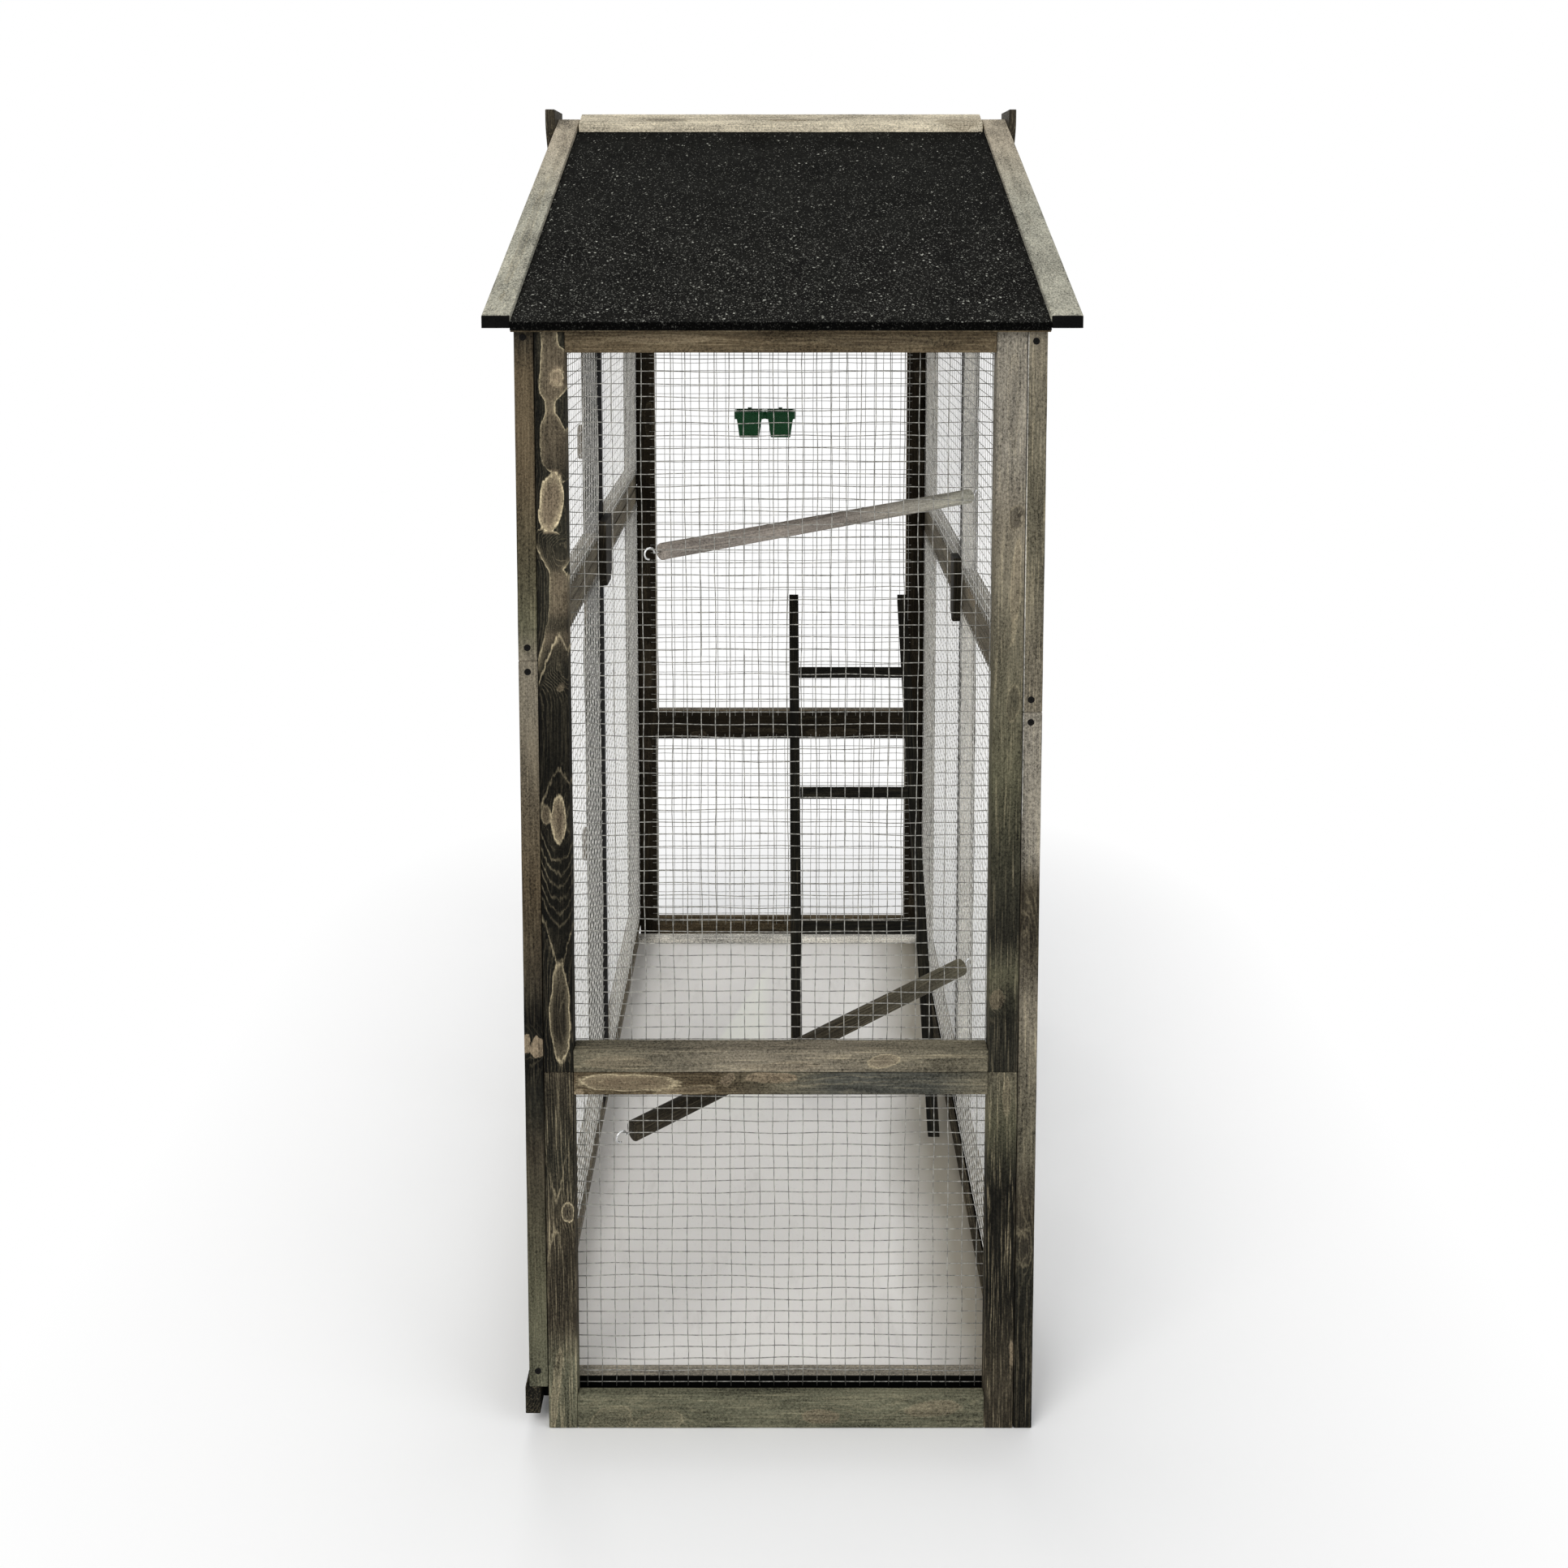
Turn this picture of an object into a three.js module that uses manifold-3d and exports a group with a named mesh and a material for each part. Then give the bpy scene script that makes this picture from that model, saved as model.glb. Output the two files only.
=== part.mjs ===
// Bird aviary: lath-framed wire walls under a felted gable roof, with two front
// doors, a pull-out floor tray, two hooked perches, a ladder and a double feeder.
// Millimetres, +Z up, origin on the floor under the middle. The front faces -X.
// "Right" and "left" are the two short end walls as seen by someone facing the
// front: the right end is at -Y and the left end at +Y.

import * as THREE from 'three';
import { mergeVertices } from 'three/addons/utils/BufferGeometryUtils.js';
import Module from 'manifold-3d';

const wasm = await Module();
wasm.setup();

// Driving dimensions of the house
const houseLength = 1254;
const houseWidth = 680;
const wallHeight = 1495;
const leftSeamHeight = 529;
const backSeamHeight = 995;
const frontSeamHeight = 1063;
const frontClearance = 60;

// Laths
const lathThickness = 25;
const stileWidth = 39;
const endRailHeight = 31;
const longRailHeight = 38;
const plinthHeight = 49;
const leftPlinthHeight = 81;
const plinthThickness = 12;
const lathChamfer = 1.2;
const tenonLength = 4;

// Fits between pieces
const fitGap = 0.3;
const cornerGap = 0.8;
const doorGap = 2;
const cutOverrun = 5;

// Wire nets: the welded wire's mesh, and how many meshes one gap here stands for
const wireDiameter = 1.4;
const meshAcross = 19;
const meshUp = 16.7;
const netLap = 10;
const meshesPerGapAcross = 6;
const meshesPerGapUp = 7;

// Splice plates over the crossing of each long wall's seam and middle stile
const splicePlateThickness = 13;
const splicePlateHeight = 116;
const frontSplicePlateWidth = 78;
const backSplicePlateWidth = 44;
const splicePlateBevel = 16;

// Roof
const roofRise = 292;
const eaveOverhang = 10;
const roofBoardThickness = 12.5;
const roofBoardSideReach = 2;
const feltLip = 11;
const feltLipThickness = 2;
const frontVergeBoardWidth = 36;
const backVergeBoardWidth = 40;
const vergeBoardThickness = 15;
const vergeBoardLift = 5;
const ridgeBoardWidth = 42;
const ridgeBoardThickness = 14.5;
const ridgeBoardEndGap = 3;
const gableBoardThickness = 12;
const gableBoardInset = 6;
const frontApexPlateThickness = 16;
const backApexPlateThickness = 12;
const apexPlateWidth = 84;
const apexPlateHeight = 88;
const apexPlateShoulder = 18;
const apexPlateRise = 13;
const apexPlateTipWidth = 16;

// Floor tray
const trayBoardThickness = 10;
const traySideThickness = 19;
const trayBoardHeight = 30;
const trayFloorThickness = 4;
const trayFloorHeight = 18.5;
const traySideGap = 1.5;
const trayBackGap = 3;
const trayFrontThickness = 20;
const trayFrontHeight = 39;
const trayFrontProud = 6;
const trayGripLength = 120;
const trayGripDepth = 12;
const trayTopClearance = 8.5;
const trayFrontClearance = 1.5;
const runnerHeight = 12;
const runnerWidth = 26;

// Perches and their screw hooks
const upperPerchDiameter = 22.4;
const lowerPerchDiameter = 27;
const perchChamfer = 1.5;
const hookRodDiameter = 2.6;
const hookRingDiameter = 15;
const hookShankLength = 10;
const hookTurnShare = 0.75;
const upperPerchLift = 203.5;
const upperPerchNearPlace = 171.5;
const upperPerchFarPlace = 431;
const lowerPerchHeight = 398;
const lowerPerchHeadroom = 107;
const lowerPerchNearPlace = 215.5;
const lowerPerchFarPlace = 470;

// Ladder
const ladderTopHeight = 824;
const ladderFootHeight = 53;
const ladderRun = 701;
const ladderInnerWidth = 217;
const ladderPlace = 147;
const ladderRailWidth = 20;
const ladderRailDepth = 12;
const ladderShortRail = 70;
const ladderRungHeight = 22;
const ladderRungDepth = 10;
const ladderFirstRung = 181;
const ladderRungSpacing = 257;
const ladderRungs = 3;

// Double feeder
const feederWidth = 124;
const feederHeight = 56;
const feederRimHeight = 16;
const feederDepth = 48;
const feederWall = 2.4;
const feederRimReach = 3;
const feederTaper = 7;
const feederCupGap = 10;
const feederPlace = 34;
const feederTopHeight = 1234;
const feederHookWidth = 8;
const feederHookThickness = 2;
const feederHookDrop = 12;

// Door hinges and turn buttons
const hingeLeafWidth = 21;
const hingeLeafHeight = 50;
const hingeLeafThickness = 1.2;
const hingeBarrelDiameter = 6.4;
const hingePinDiameter = 2.8;
const hingeInset = 90;
const upperHingeInset = 60;
const turnButtonLength = 62;
const turnButtonWidth = 20;
const turnButtonThickness = 8;
const turnButtonPivotInset = 12;
const turnButtonStandoff = 0.6;

// Numbers of facets round small curves
const rodSides = 6;
const hookSteps = 18;
const roundSides = 20;
const perchSides = 16;

// Places worked out from the sizes above
const halfLength = houseLength / 2;
const halfWidth = houseWidth / 2;
const innerHalfLength = halfLength - lathThickness;
const innerHalfWidth = halfWidth - lathThickness;
const endWallWidth = 2 * (innerHalfWidth - cornerGap);
const roofSlope = roofRise / halfLength;
const slopeAngle = Math.atan(roofSlope);
const roofUnderside = wallHeight + fitGap;
const eaveUnderside = roofUnderside - eaveOverhang * roofSlope;

// The right end's two frames meet above the lower perch's hook, and the upper perch
// hangs above the back wall's seam
const rightSeamHeight = lowerPerchHeight + lowerPerchHeadroom;
const upperPerchHeight = backSeamHeight + upperPerchLift;

const materials = {
  washedWood: () => new THREE.MeshStandardMaterial({ color: 0x8b8475, roughness: 0.85 }),
  darkWood: () => new THREE.MeshStandardMaterial({ color: 0x3f3733, roughness: 0.8 }),
  paleBoard: () => new THREE.MeshStandardMaterial({ color: 0xb9b3a4, roughness: 0.85 }),
  felt: () => new THREE.MeshStandardMaterial({ color: 0x1c1d1e, roughness: 0.95 }),
  wire: () => new THREE.MeshStandardMaterial({ color: 0xb4b3ae, roughness: 0.45, metalness: 0.9 }),
  steel: () => new THREE.MeshStandardMaterial({ color: 0xc4c6c8, roughness: 0.35, metalness: 1 }),
  greenPlastic: () => new THREE.MeshStandardMaterial({ color: 0x0f4a22, roughness: 0.4 }),
  whiteBoard: () => new THREE.MeshStandardMaterial({ color: 0xd8d6cf, roughness: 0.6 }),
};

const aviary = new THREE.Group();

// Adds one named piece to a group
function addPiece(parent, name, geometry, material) {
  const mesh = new THREE.Mesh(geometry, material);
  mesh.name = name;
  parent.add(mesh);
  return mesh;
}

// A closed geometry as a solid that can be joined and cut
function toSolid(geometry) {
  const bare = geometry.clone();
  bare.deleteAttribute('normal');
  bare.deleteAttribute('uv');
  const merged = mergeVertices(bare);
  return new wasm.Manifold(new wasm.Mesh({
    numProp: 3,
    vertProperties: new Float32Array(merged.attributes.position.array),
    triVerts: new Uint32Array(merged.index.array),
  }));
}

function toGeometry(solid) {
  const mesh = solid.getMesh();
  const geometry = new THREE.BufferGeometry();
  geometry.setAttribute('position', new THREE.BufferAttribute(new Float32Array(mesh.vertProperties), 3));
  geometry.setIndex(new THREE.BufferAttribute(new Uint32Array(mesh.triVerts), 1));
  geometry.computeVertexNormals();
  return geometry;
}

function joinAll(geometries) {
  return toGeometry(geometries.map(toSolid).reduce((whole, next) => whole.add(next)));
}

// A box given by its lowest and highest corners
function boxBetween([x0, y0, z0], [x1, y1, z1]) {
  const box = new THREE.BoxGeometry(x1 - x0, y1 - y0, z1 - z0);
  return box.translate((x0 + x1) / 2, (y0 + y1) / 2, (z0 + z1) / 2);
}

function shapeOf(points) {
  return new THREE.Shape(points.map(([u, v]) => new THREE.Vector2(u, v)));
}

// Outline in x and z, extruded along y from yStart to yEnd
function extrudeAlongY(shape, yStart, yEnd) {
  const solid = new THREE.ExtrudeGeometry(shape, { depth: yEnd - yStart, bevelEnabled: false });
  solid.rotateX(Math.PI / 2);
  return solid.translate(0, yEnd, 0);
}

// Outline in y and z, extruded along x from xStart to xEnd
function extrudeAlongX(shape, xStart, xEnd) {
  const solid = new THREE.ExtrudeGeometry(shape, { depth: xEnd - xStart, bevelEnabled: false });
  const yzAlongX = new THREE.Matrix4().makeBasis(
    new THREE.Vector3(0, 1, 0),
    new THREE.Vector3(0, 0, 1),
    new THREE.Vector3(1, 0, 0),
  );
  solid.applyMatrix4(yzAlongX);
  return solid.translate(xStart, 0, 0);
}

// Outline in x and y, extruded upwards from zStart to zEnd
function extrudeUp(shape, zStart, zEnd) {
  const solid = new THREE.ExtrudeGeometry(shape, { depth: zEnd - zStart, bevelEnabled: false });
  return solid.translate(0, 0, zStart);
}

// A rectangle with its four corners cut off
function chamferedSection(u0, u1, v0, v1, chamfer) {
  return shapeOf([
    [u0 + chamfer, v0],
    [u1 - chamfer, v0],
    [u1, v0 + chamfer],
    [u1, v1 - chamfer],
    [u1 - chamfer, v1],
    [u0 + chamfer, v1],
    [u0, v1 - chamfer],
    [u0, v0 + chamfer],
  ]);
}

// Wall panels are drawn in their wall's own frame: x runs along the wall, z is up,
// and the outer face is at y = -lathThickness with the inner face at y = 0.
function uprightLath(x0, x1, z0, z1) {
  return extrudeUp(chamferedSection(x0, x1, -lathThickness, 0, lathChamfer), z0, z1);
}

function levelLath(x0, x1, z0, z1, thickness = lathThickness) {
  const section = chamferedSection(-lathThickness, thickness - lathThickness, z0, z1, lathChamfer);
  return extrudeAlongX(section, x0, x1);
}

// One frame: full-height stiles, with rails tenoned between them
function lathFrame({ x0, x1, z0, z1, topRail, bottomRail, bottomThickness, posts = [] }) {
  const railStart = x0 + stileWidth - tenonLength;
  const railEnd = x1 - stileWidth + tenonLength;
  const laths = [
    uprightLath(x0, x0 + stileWidth, z0, z1),
    uprightLath(x1 - stileWidth, x1, z0, z1),
    levelLath(railStart, railEnd, z1 - topRail, z1),
    levelLath(railStart, railEnd, z0, z0 + bottomRail, bottomThickness),
  ];
  for (const post of posts) {
    const postBottom = z0 + bottomRail - tenonLength;
    const postTop = z1 - topRail + tenonLength;
    laths.push(uprightLath(post - stileWidth / 2, post + stileWidth / 2, postBottom, postTop));
  }
  return joinAll(laths);
}

// Rows of wires: evenly chosen among the real meshes, with the rows that carry a hook
function wireRows(meshes, perGap, hookRows) {
  const gaps = Math.ceil(meshes / perGap);
  const rows = new Set(hookRows);
  for (let i = 0; i <= gaps; i += 1) {
    rows.add(Math.round((i * meshes) / gaps));
  }
  return [...rows].sort((a, b) => a - b);
}

// The whole meshes that cover an opening, between the net's two cut edges, which lap
// onto the frame. One wire lies at the anchor; without an anchor the meshes are centred.
function meshLattice(open0, open1, mesh, anchor) {
  const edge0 = open0 - netLap;
  const edge1 = open1 + netLap;
  const low = edge0 + wireDiameter;
  const high = edge1 - wireDiameter;
  const centred = (low + high - mesh * Math.floor((high - low) / mesh)) / 2;
  const start = anchor === undefined ? centred : anchor - mesh * Math.floor((anchor - low) / mesh);
  return { edge0, edge1, start, meshes: Math.floor((high - start) / mesh) };
}

// A flat grid plate between yFront and yBack. The cuts along x and z bound gaps and
// wires by turns, starting and ending with the wires' free ends.
function gridPlate(xCuts, zCuts, yFront, yBack) {
  const positions = [];
  const triangles = [];
  const point = (i, j, isBack) => 2 * (i * zCuts.length + j) + (isBack ? 1 : 0);
  for (const x of xCuts) {
    for (const z of zCuts) {
      positions.push(x, yFront, z, x, yBack, z);
    }
  }
  const isWire = (i, j) => {
    const inside = i >= 0 && j >= 0 && i < xCuts.length - 1 && j < zCuts.length - 1;
    return inside && (i % 2 === 1 || j % 2 === 1);
  };
  const addQuad = (a, b, c, d) => triangles.push(a, b, c, a, c, d);
  const addWallIf = (isOpen, i0, j0, i1, j1) => {
    if (isOpen) {
      addQuad(point(i0, j0, false), point(i0, j0, true), point(i1, j1, true), point(i1, j1, false));
    }
  };
  for (let i = 0; i < xCuts.length - 1; i += 1) {
    for (let j = 0; j < zCuts.length - 1; j += 1) {
      if (!isWire(i, j)) {
        continue;
      }
      addQuad(point(i, j, false), point(i + 1, j, false), point(i + 1, j + 1, false), point(i, j + 1, false));
      addQuad(point(i, j, true), point(i, j + 1, true), point(i + 1, j + 1, true), point(i + 1, j, true));
      addWallIf(!isWire(i, j - 1), i, j, i + 1, j);
      addWallIf(!isWire(i + 1, j), i + 1, j, i + 1, j + 1);
      addWallIf(!isWire(i, j + 1), i + 1, j + 1, i, j + 1);
      addWallIf(!isWire(i - 1, j), i, j + 1, i, j);
    }
  }
  const used = [...new Set(triangles)].sort((a, b) => a - b);
  const renumbered = new Map(used.map((old, place) => [old, place]));
  const geometry = new THREE.BufferGeometry();
  const kept = used.flatMap((old) => positions.slice(3 * old, 3 * old + 3));
  geometry.setAttribute('position', new THREE.Float32BufferAttribute(kept, 3));
  geometry.setIndex(triangles.map((old) => renumbered.get(old)));
  geometry.computeVertexNormals();
  return geometry;
}

// A welded net over an opening, stapled to the inner face of its frame. The wires
// nearest to the wanted heights are kept, and the first of them lies just there. What
// hangs on the net passes through the middle of a mesh at the hook's place.
function wireNet(opening, wireHeights = [], hookPlace = undefined) {
  const besideHook = hookPlace === undefined ? undefined : hookPlace + meshAcross / 2;
  const across = meshLattice(opening.x0, opening.x1, meshAcross, besideHook);
  const up = meshLattice(opening.z0, opening.z1, meshUp, wireHeights[0]);
  const columns = wireRows(across.meshes, meshesPerGapAcross, []);
  const hookRows = wireHeights.map((height) => Math.round((height - up.start) / meshUp));
  const rows = wireRows(up.meshes, meshesPerGapUp, hookRows);
  const wireEdges = (middle) => [middle - wireDiameter / 2, middle + wireDiameter / 2];
  const columnCuts = columns.flatMap((column) => wireEdges(across.start + column * meshAcross));
  const rowCuts = rows.flatMap((row) => wireEdges(up.start + row * meshUp));
  const xCuts = [across.edge0, ...columnCuts, across.edge1];
  const zCuts = [up.edge0, ...rowCuts, up.edge1];
  return gridPlate(xCuts, zCuts, fitGap, fitGap + wireDiameter);
}

// The opening that a frame leaves for its net
function openingOf(frame) {
  return {
    x0: frame.x0 + stileWidth,
    x1: frame.x1 - stileWidth,
    z0: frame.z0 + frame.bottomRail,
    z1: frame.z1 - frame.topRail,
  };
}

function addPanel(wall, name, frame, wireHeights, hookPlace) {
  addPiece(wall, `${name}_frame`, lathFrame(frame), materials.washedWood());
  addPiece(wall, `${name}_net`, wireNet(openingOf(frame), wireHeights, hookPlace), materials.wire());
}

// A wall's own group, turned so that its outer face looks outwards
function addWall(turn, x, y) {
  const wall = new THREE.Group();
  wall.rotation.z = turn;
  wall.position.set(x, y, 0);
  aviary.add(wall);
  return wall;
}

// End walls
function endFrames(seamHeight, bottomRail) {
  const x0 = -endWallWidth / 2;
  const x1 = endWallWidth / 2;
  return {
    lower: {
      x0,
      x1,
      z0: 0,
      z1: seamHeight,
      topRail: endRailHeight,
      bottomRail,
      bottomThickness: plinthThickness,
    },
    upper: {
      x0,
      x1,
      z0: seamHeight + fitGap,
      z1: wallHeight,
      topRail: endRailHeight,
      bottomRail: endRailHeight,
    },
  };
}

const rightFrames = endFrames(rightSeamHeight, plinthHeight);
const leftFrames = endFrames(leftSeamHeight, leftPlinthHeight);

// Long walls
const backFrames = {
  lower: {
    x0: -halfLength,
    x1: halfLength,
    z0: 0,
    z1: backSeamHeight,
    topRail: longRailHeight,
    bottomRail: plinthHeight,
    posts: [0],
  },
  upper: {
    x0: -halfLength,
    x1: halfLength,
    z0: backSeamHeight + fitGap,
    z1: wallHeight,
    topRail: longRailHeight,
    bottomRail: longRailHeight,
    posts: [0],
  },
};

// The front's fixed frames fill its right half. In the front wall's own frame the
// right end lies at +x.
function frontFrame(x0, x1, z0, z1) {
  return { x0, x1, z0, z1, topRail: longRailHeight, bottomRail: longRailHeight };
}

const frontFrames = {
  lower: frontFrame(0, halfLength, frontClearance, frontSeamHeight),
  upper: frontFrame(0, halfLength, frontSeamHeight + fitGap, wallHeight),
};

// The upper door's top swings out below the eave's underside
const doorFrames = {
  lower: frontFrame(-halfLength, -doorGap, frontClearance + doorGap, frontSeamHeight - doorGap),
  upper: frontFrame(-halfLength, -doorGap, frontSeamHeight + doorGap, eaveUnderside - doorGap),
};

// A hook's ring hangs this far below the wire that it is hooked over
const ringDrop = hookRingDiameter / 2 - hookRodDiameter / 2 - wireDiameter / 2 - fitGap;
const upperPerchWire = upperPerchHeight + ringDrop;
const lowerPerchWire = lowerPerchHeight + ringDrop;

const rightWall = addWall(0, 0, -innerHalfLength);
addPanel(rightWall, 'right_lower', rightFrames.lower, [lowerPerchWire], -lowerPerchNearPlace);
addPanel(rightWall, 'right_upper', rightFrames.upper, [upperPerchWire], -upperPerchNearPlace);

const leftWall = addWall(Math.PI, 0, innerHalfLength);
addPanel(leftWall, 'left_lower', leftFrames.lower);
addPanel(leftWall, 'left_upper', leftFrames.upper, [feederTopHeight, ladderTopHeight], feederPlace);

const backWall = addWall(Math.PI / 2, innerHalfWidth, 0);
addPanel(backWall, 'back_lower', backFrames.lower, [lowerPerchWire], lowerPerchFarPlace - halfLength);
addPanel(backWall, 'back_upper', backFrames.upper, [upperPerchWire], upperPerchFarPlace - halfLength);

const frontWall = addWall(-Math.PI / 2, -innerHalfWidth, 0);
addPanel(frontWall, 'front_lower', frontFrames.lower);
addPanel(frontWall, 'front_upper', frontFrames.upper);
addPanel(frontWall, 'lower_door', doorFrames.lower);
addPanel(frontWall, 'upper_door', doorFrames.upper);

// Splice plates, inside over the net's edge, with their lower corners bevelled
function splicePlate(width, middle, seamHeight) {
  const x0 = middle - width / 2;
  const x1 = middle + width / 2;
  const z0 = seamHeight - splicePlateHeight / 2;
  const z1 = seamHeight + splicePlateHeight / 2;
  const outline = shapeOf([
    [x0 + splicePlateBevel, z0],
    [x1 - splicePlateBevel, z0],
    [x1, z0 + splicePlateBevel],
    [x1, z1],
    [x0, z1],
    [x0, z0 + splicePlateBevel],
  ]);
  const back = 2 * fitGap + wireDiameter;
  return extrudeAlongY(outline, back, back + splicePlateThickness);
}

addPiece(
  frontWall,
  'front_splice_plate',
  splicePlate(frontSplicePlateWidth, 0, frontSeamHeight),
  materials.darkWood(),
);
addPiece(
  backWall,
  'back_splice_plate',
  splicePlate(backSplicePlateWidth, 0, backSeamHeight),
  materials.darkWood(),
);

// Roof. A slab between two lines parallel to the slope, from the eave to the ridge,
// drawn on the right slope in y and z. Lifts are measured straight up.
const roofBoardLift = roofBoardThickness / Math.cos(slopeAngle);
const vergeBoardUp = vergeBoardThickness / Math.cos(slopeAngle);
const eavePlace = -(halfLength + eaveOverhang);

function undersideAt(y) {
  return roofUnderside + (halfLength + y) * roofSlope;
}

function slopeSlab(yLow, yHigh, liftLow, liftHigh) {
  return [
    [yLow, undersideAt(yLow) + liftLow],
    [yHigh, undersideAt(yHigh) + liftLow],
    [yHigh, undersideAt(yHigh) + liftHigh],
    [yLow, undersideAt(yLow) + liftHigh],
  ];
}

// The felt turns down over the eave in front of the board
function roofSlopeBoard() {
  const front = eavePlace - feltLipThickness;
  const outline = shapeOf([
    [front, undersideAt(eavePlace) + roofBoardLift - feltLip],
    [eavePlace, undersideAt(eavePlace) + roofBoardLift - feltLip],
    [eavePlace, undersideAt(eavePlace)],
    [-fitGap / 2, undersideAt(-fitGap / 2)],
    [-fitGap / 2, undersideAt(-fitGap / 2) + roofBoardLift],
    [front, undersideAt(front) + roofBoardLift],
  ]);
  const reach = halfWidth + roofBoardSideReach;
  return extrudeAlongX(outline, -reach, reach);
}

function vergeBoard(side, width) {
  const inner = halfWidth + roofBoardSideReach + fitGap;
  const x0 = side > 0 ? inner : -inner - width;
  const outline = slopeSlab(eavePlace, -fitGap / 2, vergeBoardLift, vergeBoardLift + vergeBoardUp);
  return extrudeAlongX(shapeOf(outline), x0, x0 + width);
}

function ridgeBoard() {
  const lift = roofBoardLift + fitGap;
  const up = ridgeBoardThickness / Math.cos(slopeAngle);
  const yLow = -ridgeBoardWidth * Math.cos(slopeAngle);
  const outline = slopeSlab(yLow, -fitGap / 2, lift, lift + up);
  const reach = halfWidth + roofBoardSideReach - ridgeBoardEndGap;
  return extrudeAlongX(shapeOf(outline), -reach, reach);
}

// Each slope is drawn at the right end; the left one is the same, turned half round
function addSlope(end, turn) {
  const slope = new THREE.Group();
  slope.rotation.z = turn;
  aviary.add(slope);
  const frontSide = end === 'right' ? -1 : 1;
  const frontBoard = vergeBoard(frontSide, frontVergeBoardWidth);
  const backBoard = vergeBoard(-frontSide, backVergeBoardWidth);
  addPiece(slope, `roof_${end}_slope`, roofSlopeBoard(), materials.felt());
  addPiece(slope, `front_${end}_verge_board`, frontBoard, materials.paleBoard());
  addPiece(slope, `back_${end}_verge_board`, backBoard, materials.paleBoard());
  addPiece(slope, `ridge_${end}_board`, ridgeBoard(), materials.paleBoard());
}

addSlope('right', 0);
addSlope('left', Math.PI);

// A board closes the triangle above each long wall, just under the roof boards
function gableBoard() {
  const footEnd = halfLength - (2 * fitGap) / roofSlope;
  const top = roofUnderside + roofRise - fitGap;
  const outline = shapeOf([
    [-footEnd, roofUnderside],
    [footEnd, roofUnderside],
    [0, top - fitGap],
  ]);
  return extrudeAlongX(outline, 0, gableBoardThickness);
}

// A shield over the verge boards' joint: square shoulders, then drawn in to a tip
function apexPlate(thickness) {
  const top = undersideAt(0) + vergeBoardLift + vergeBoardUp + apexPlateRise;
  const half = apexPlateWidth / 2;
  const tip = apexPlateTipWidth / 2;
  const outline = new THREE.Shape();
  outline.moveTo(-half, top);
  outline.lineTo(-half, top - apexPlateShoulder);
  outline.quadraticCurveTo(-half, top - apexPlateHeight / 2, -tip, top - apexPlateHeight);
  outline.lineTo(tip, top - apexPlateHeight);
  outline.quadraticCurveTo(half, top - apexPlateHeight / 2, half, top - apexPlateShoulder);
  outline.lineTo(half, top);
  return extrudeAlongX(outline, 0, thickness);
}

const gableBoardPlace = halfWidth - gableBoardInset - gableBoardThickness;
const gableSides = [
  { side: 'back', turn: 0, vergeWidth: backVergeBoardWidth, plateThickness: backApexPlateThickness },
  { side: 'front', turn: Math.PI, vergeWidth: frontVergeBoardWidth, plateThickness: frontApexPlateThickness },
];
for (const { side, turn, vergeWidth, plateThickness } of gableSides) {
  const gable = new THREE.Group();
  gable.rotation.z = turn;
  aviary.add(gable);
  const board = addPiece(gable, `${side}_gable_board`, gableBoard(), materials.washedWood());
  board.position.x = gableBoardPlace;
  const plate = addPiece(gable, `${side}_apex_plate`, apexPlate(plateThickness), materials.darkWood());
  plate.position.x = halfWidth + roofBoardSideReach + vergeWidth + 2 * fitGap;
}

// Floor tray: four boards round a white floor, on two runner laths
const trayTop = frontClearance - trayTopClearance;
const trayBottom = trayTop - trayBoardHeight;
const trayHalfLength = innerHalfLength - wireDiameter - fitGap - traySideGap;
const trayBack = innerHalfWidth - wireDiameter - fitGap - trayBackGap;
const trayFrontBack = -halfWidth - trayFrontProud + trayFrontThickness;

function trayPan() {
  const x0 = trayFrontBack + fitGap;
  const innerHalf = trayHalfLength - traySideThickness;
  const outer = boxBetween([x0, -trayHalfLength, trayBottom], [trayBack, trayHalfLength, trayTop]);
  const inner = boxBetween(
    [x0 + trayBoardThickness, -innerHalf, trayBottom + trayFloorHeight],
    [trayBack - trayBoardThickness, innerHalf, trayTop + cutOverrun],
  );
  const under = boxBetween(
    [x0 + trayBoardThickness, -innerHalf, trayBottom - cutOverrun],
    [trayBack - trayBoardThickness, innerHalf, trayBottom + trayFloorHeight - trayFloorThickness],
  );
  return toGeometry(toSolid(outer).subtract(toSolid(inner)).subtract(toSolid(under)));
}

// The front board has a finger grip cut into its lower edge
function trayFrontBoard() {
  const y1 = halfLength - doorGap;
  const z1 = frontClearance - trayFrontClearance;
  const z0 = z1 - trayFrontHeight;
  const grip = trayGripLength / 2;
  const outline = new THREE.Shape();
  outline.moveTo(-y1, z0);
  outline.lineTo(-grip, z0);
  outline.quadraticCurveTo(0, z0 + 2 * trayGripDepth, grip, z0);
  outline.lineTo(y1, z0);
  outline.lineTo(y1, z1);
  outline.lineTo(-y1, z1);
  const x0 = -halfWidth - trayFrontProud;
  return extrudeAlongX(outline, x0, x0 + trayFrontThickness);
}

// Each runner is fixed inside its end wall's plinth board, below the net
function trayRunner() {
  const plinthBack = plinthThickness - lathThickness + fitGap;
  const top = trayBottom - fitGap;
  const reach = endWallWidth / 2 - stileWidth - fitGap;
  return boxBetween([-reach, plinthBack, top - runnerHeight], [reach, plinthBack + runnerWidth, top]);
}

addPiece(aviary, 'tray_pan', trayPan(), materials.whiteBoard());
addPiece(aviary, 'tray_front_board', trayFrontBoard(), materials.washedWood());
addPiece(rightWall, 'tray_right_runner', trayRunner(), materials.darkWood());
addPiece(leftWall, 'tray_left_runner', trayRunner(), materials.darkWood());

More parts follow.
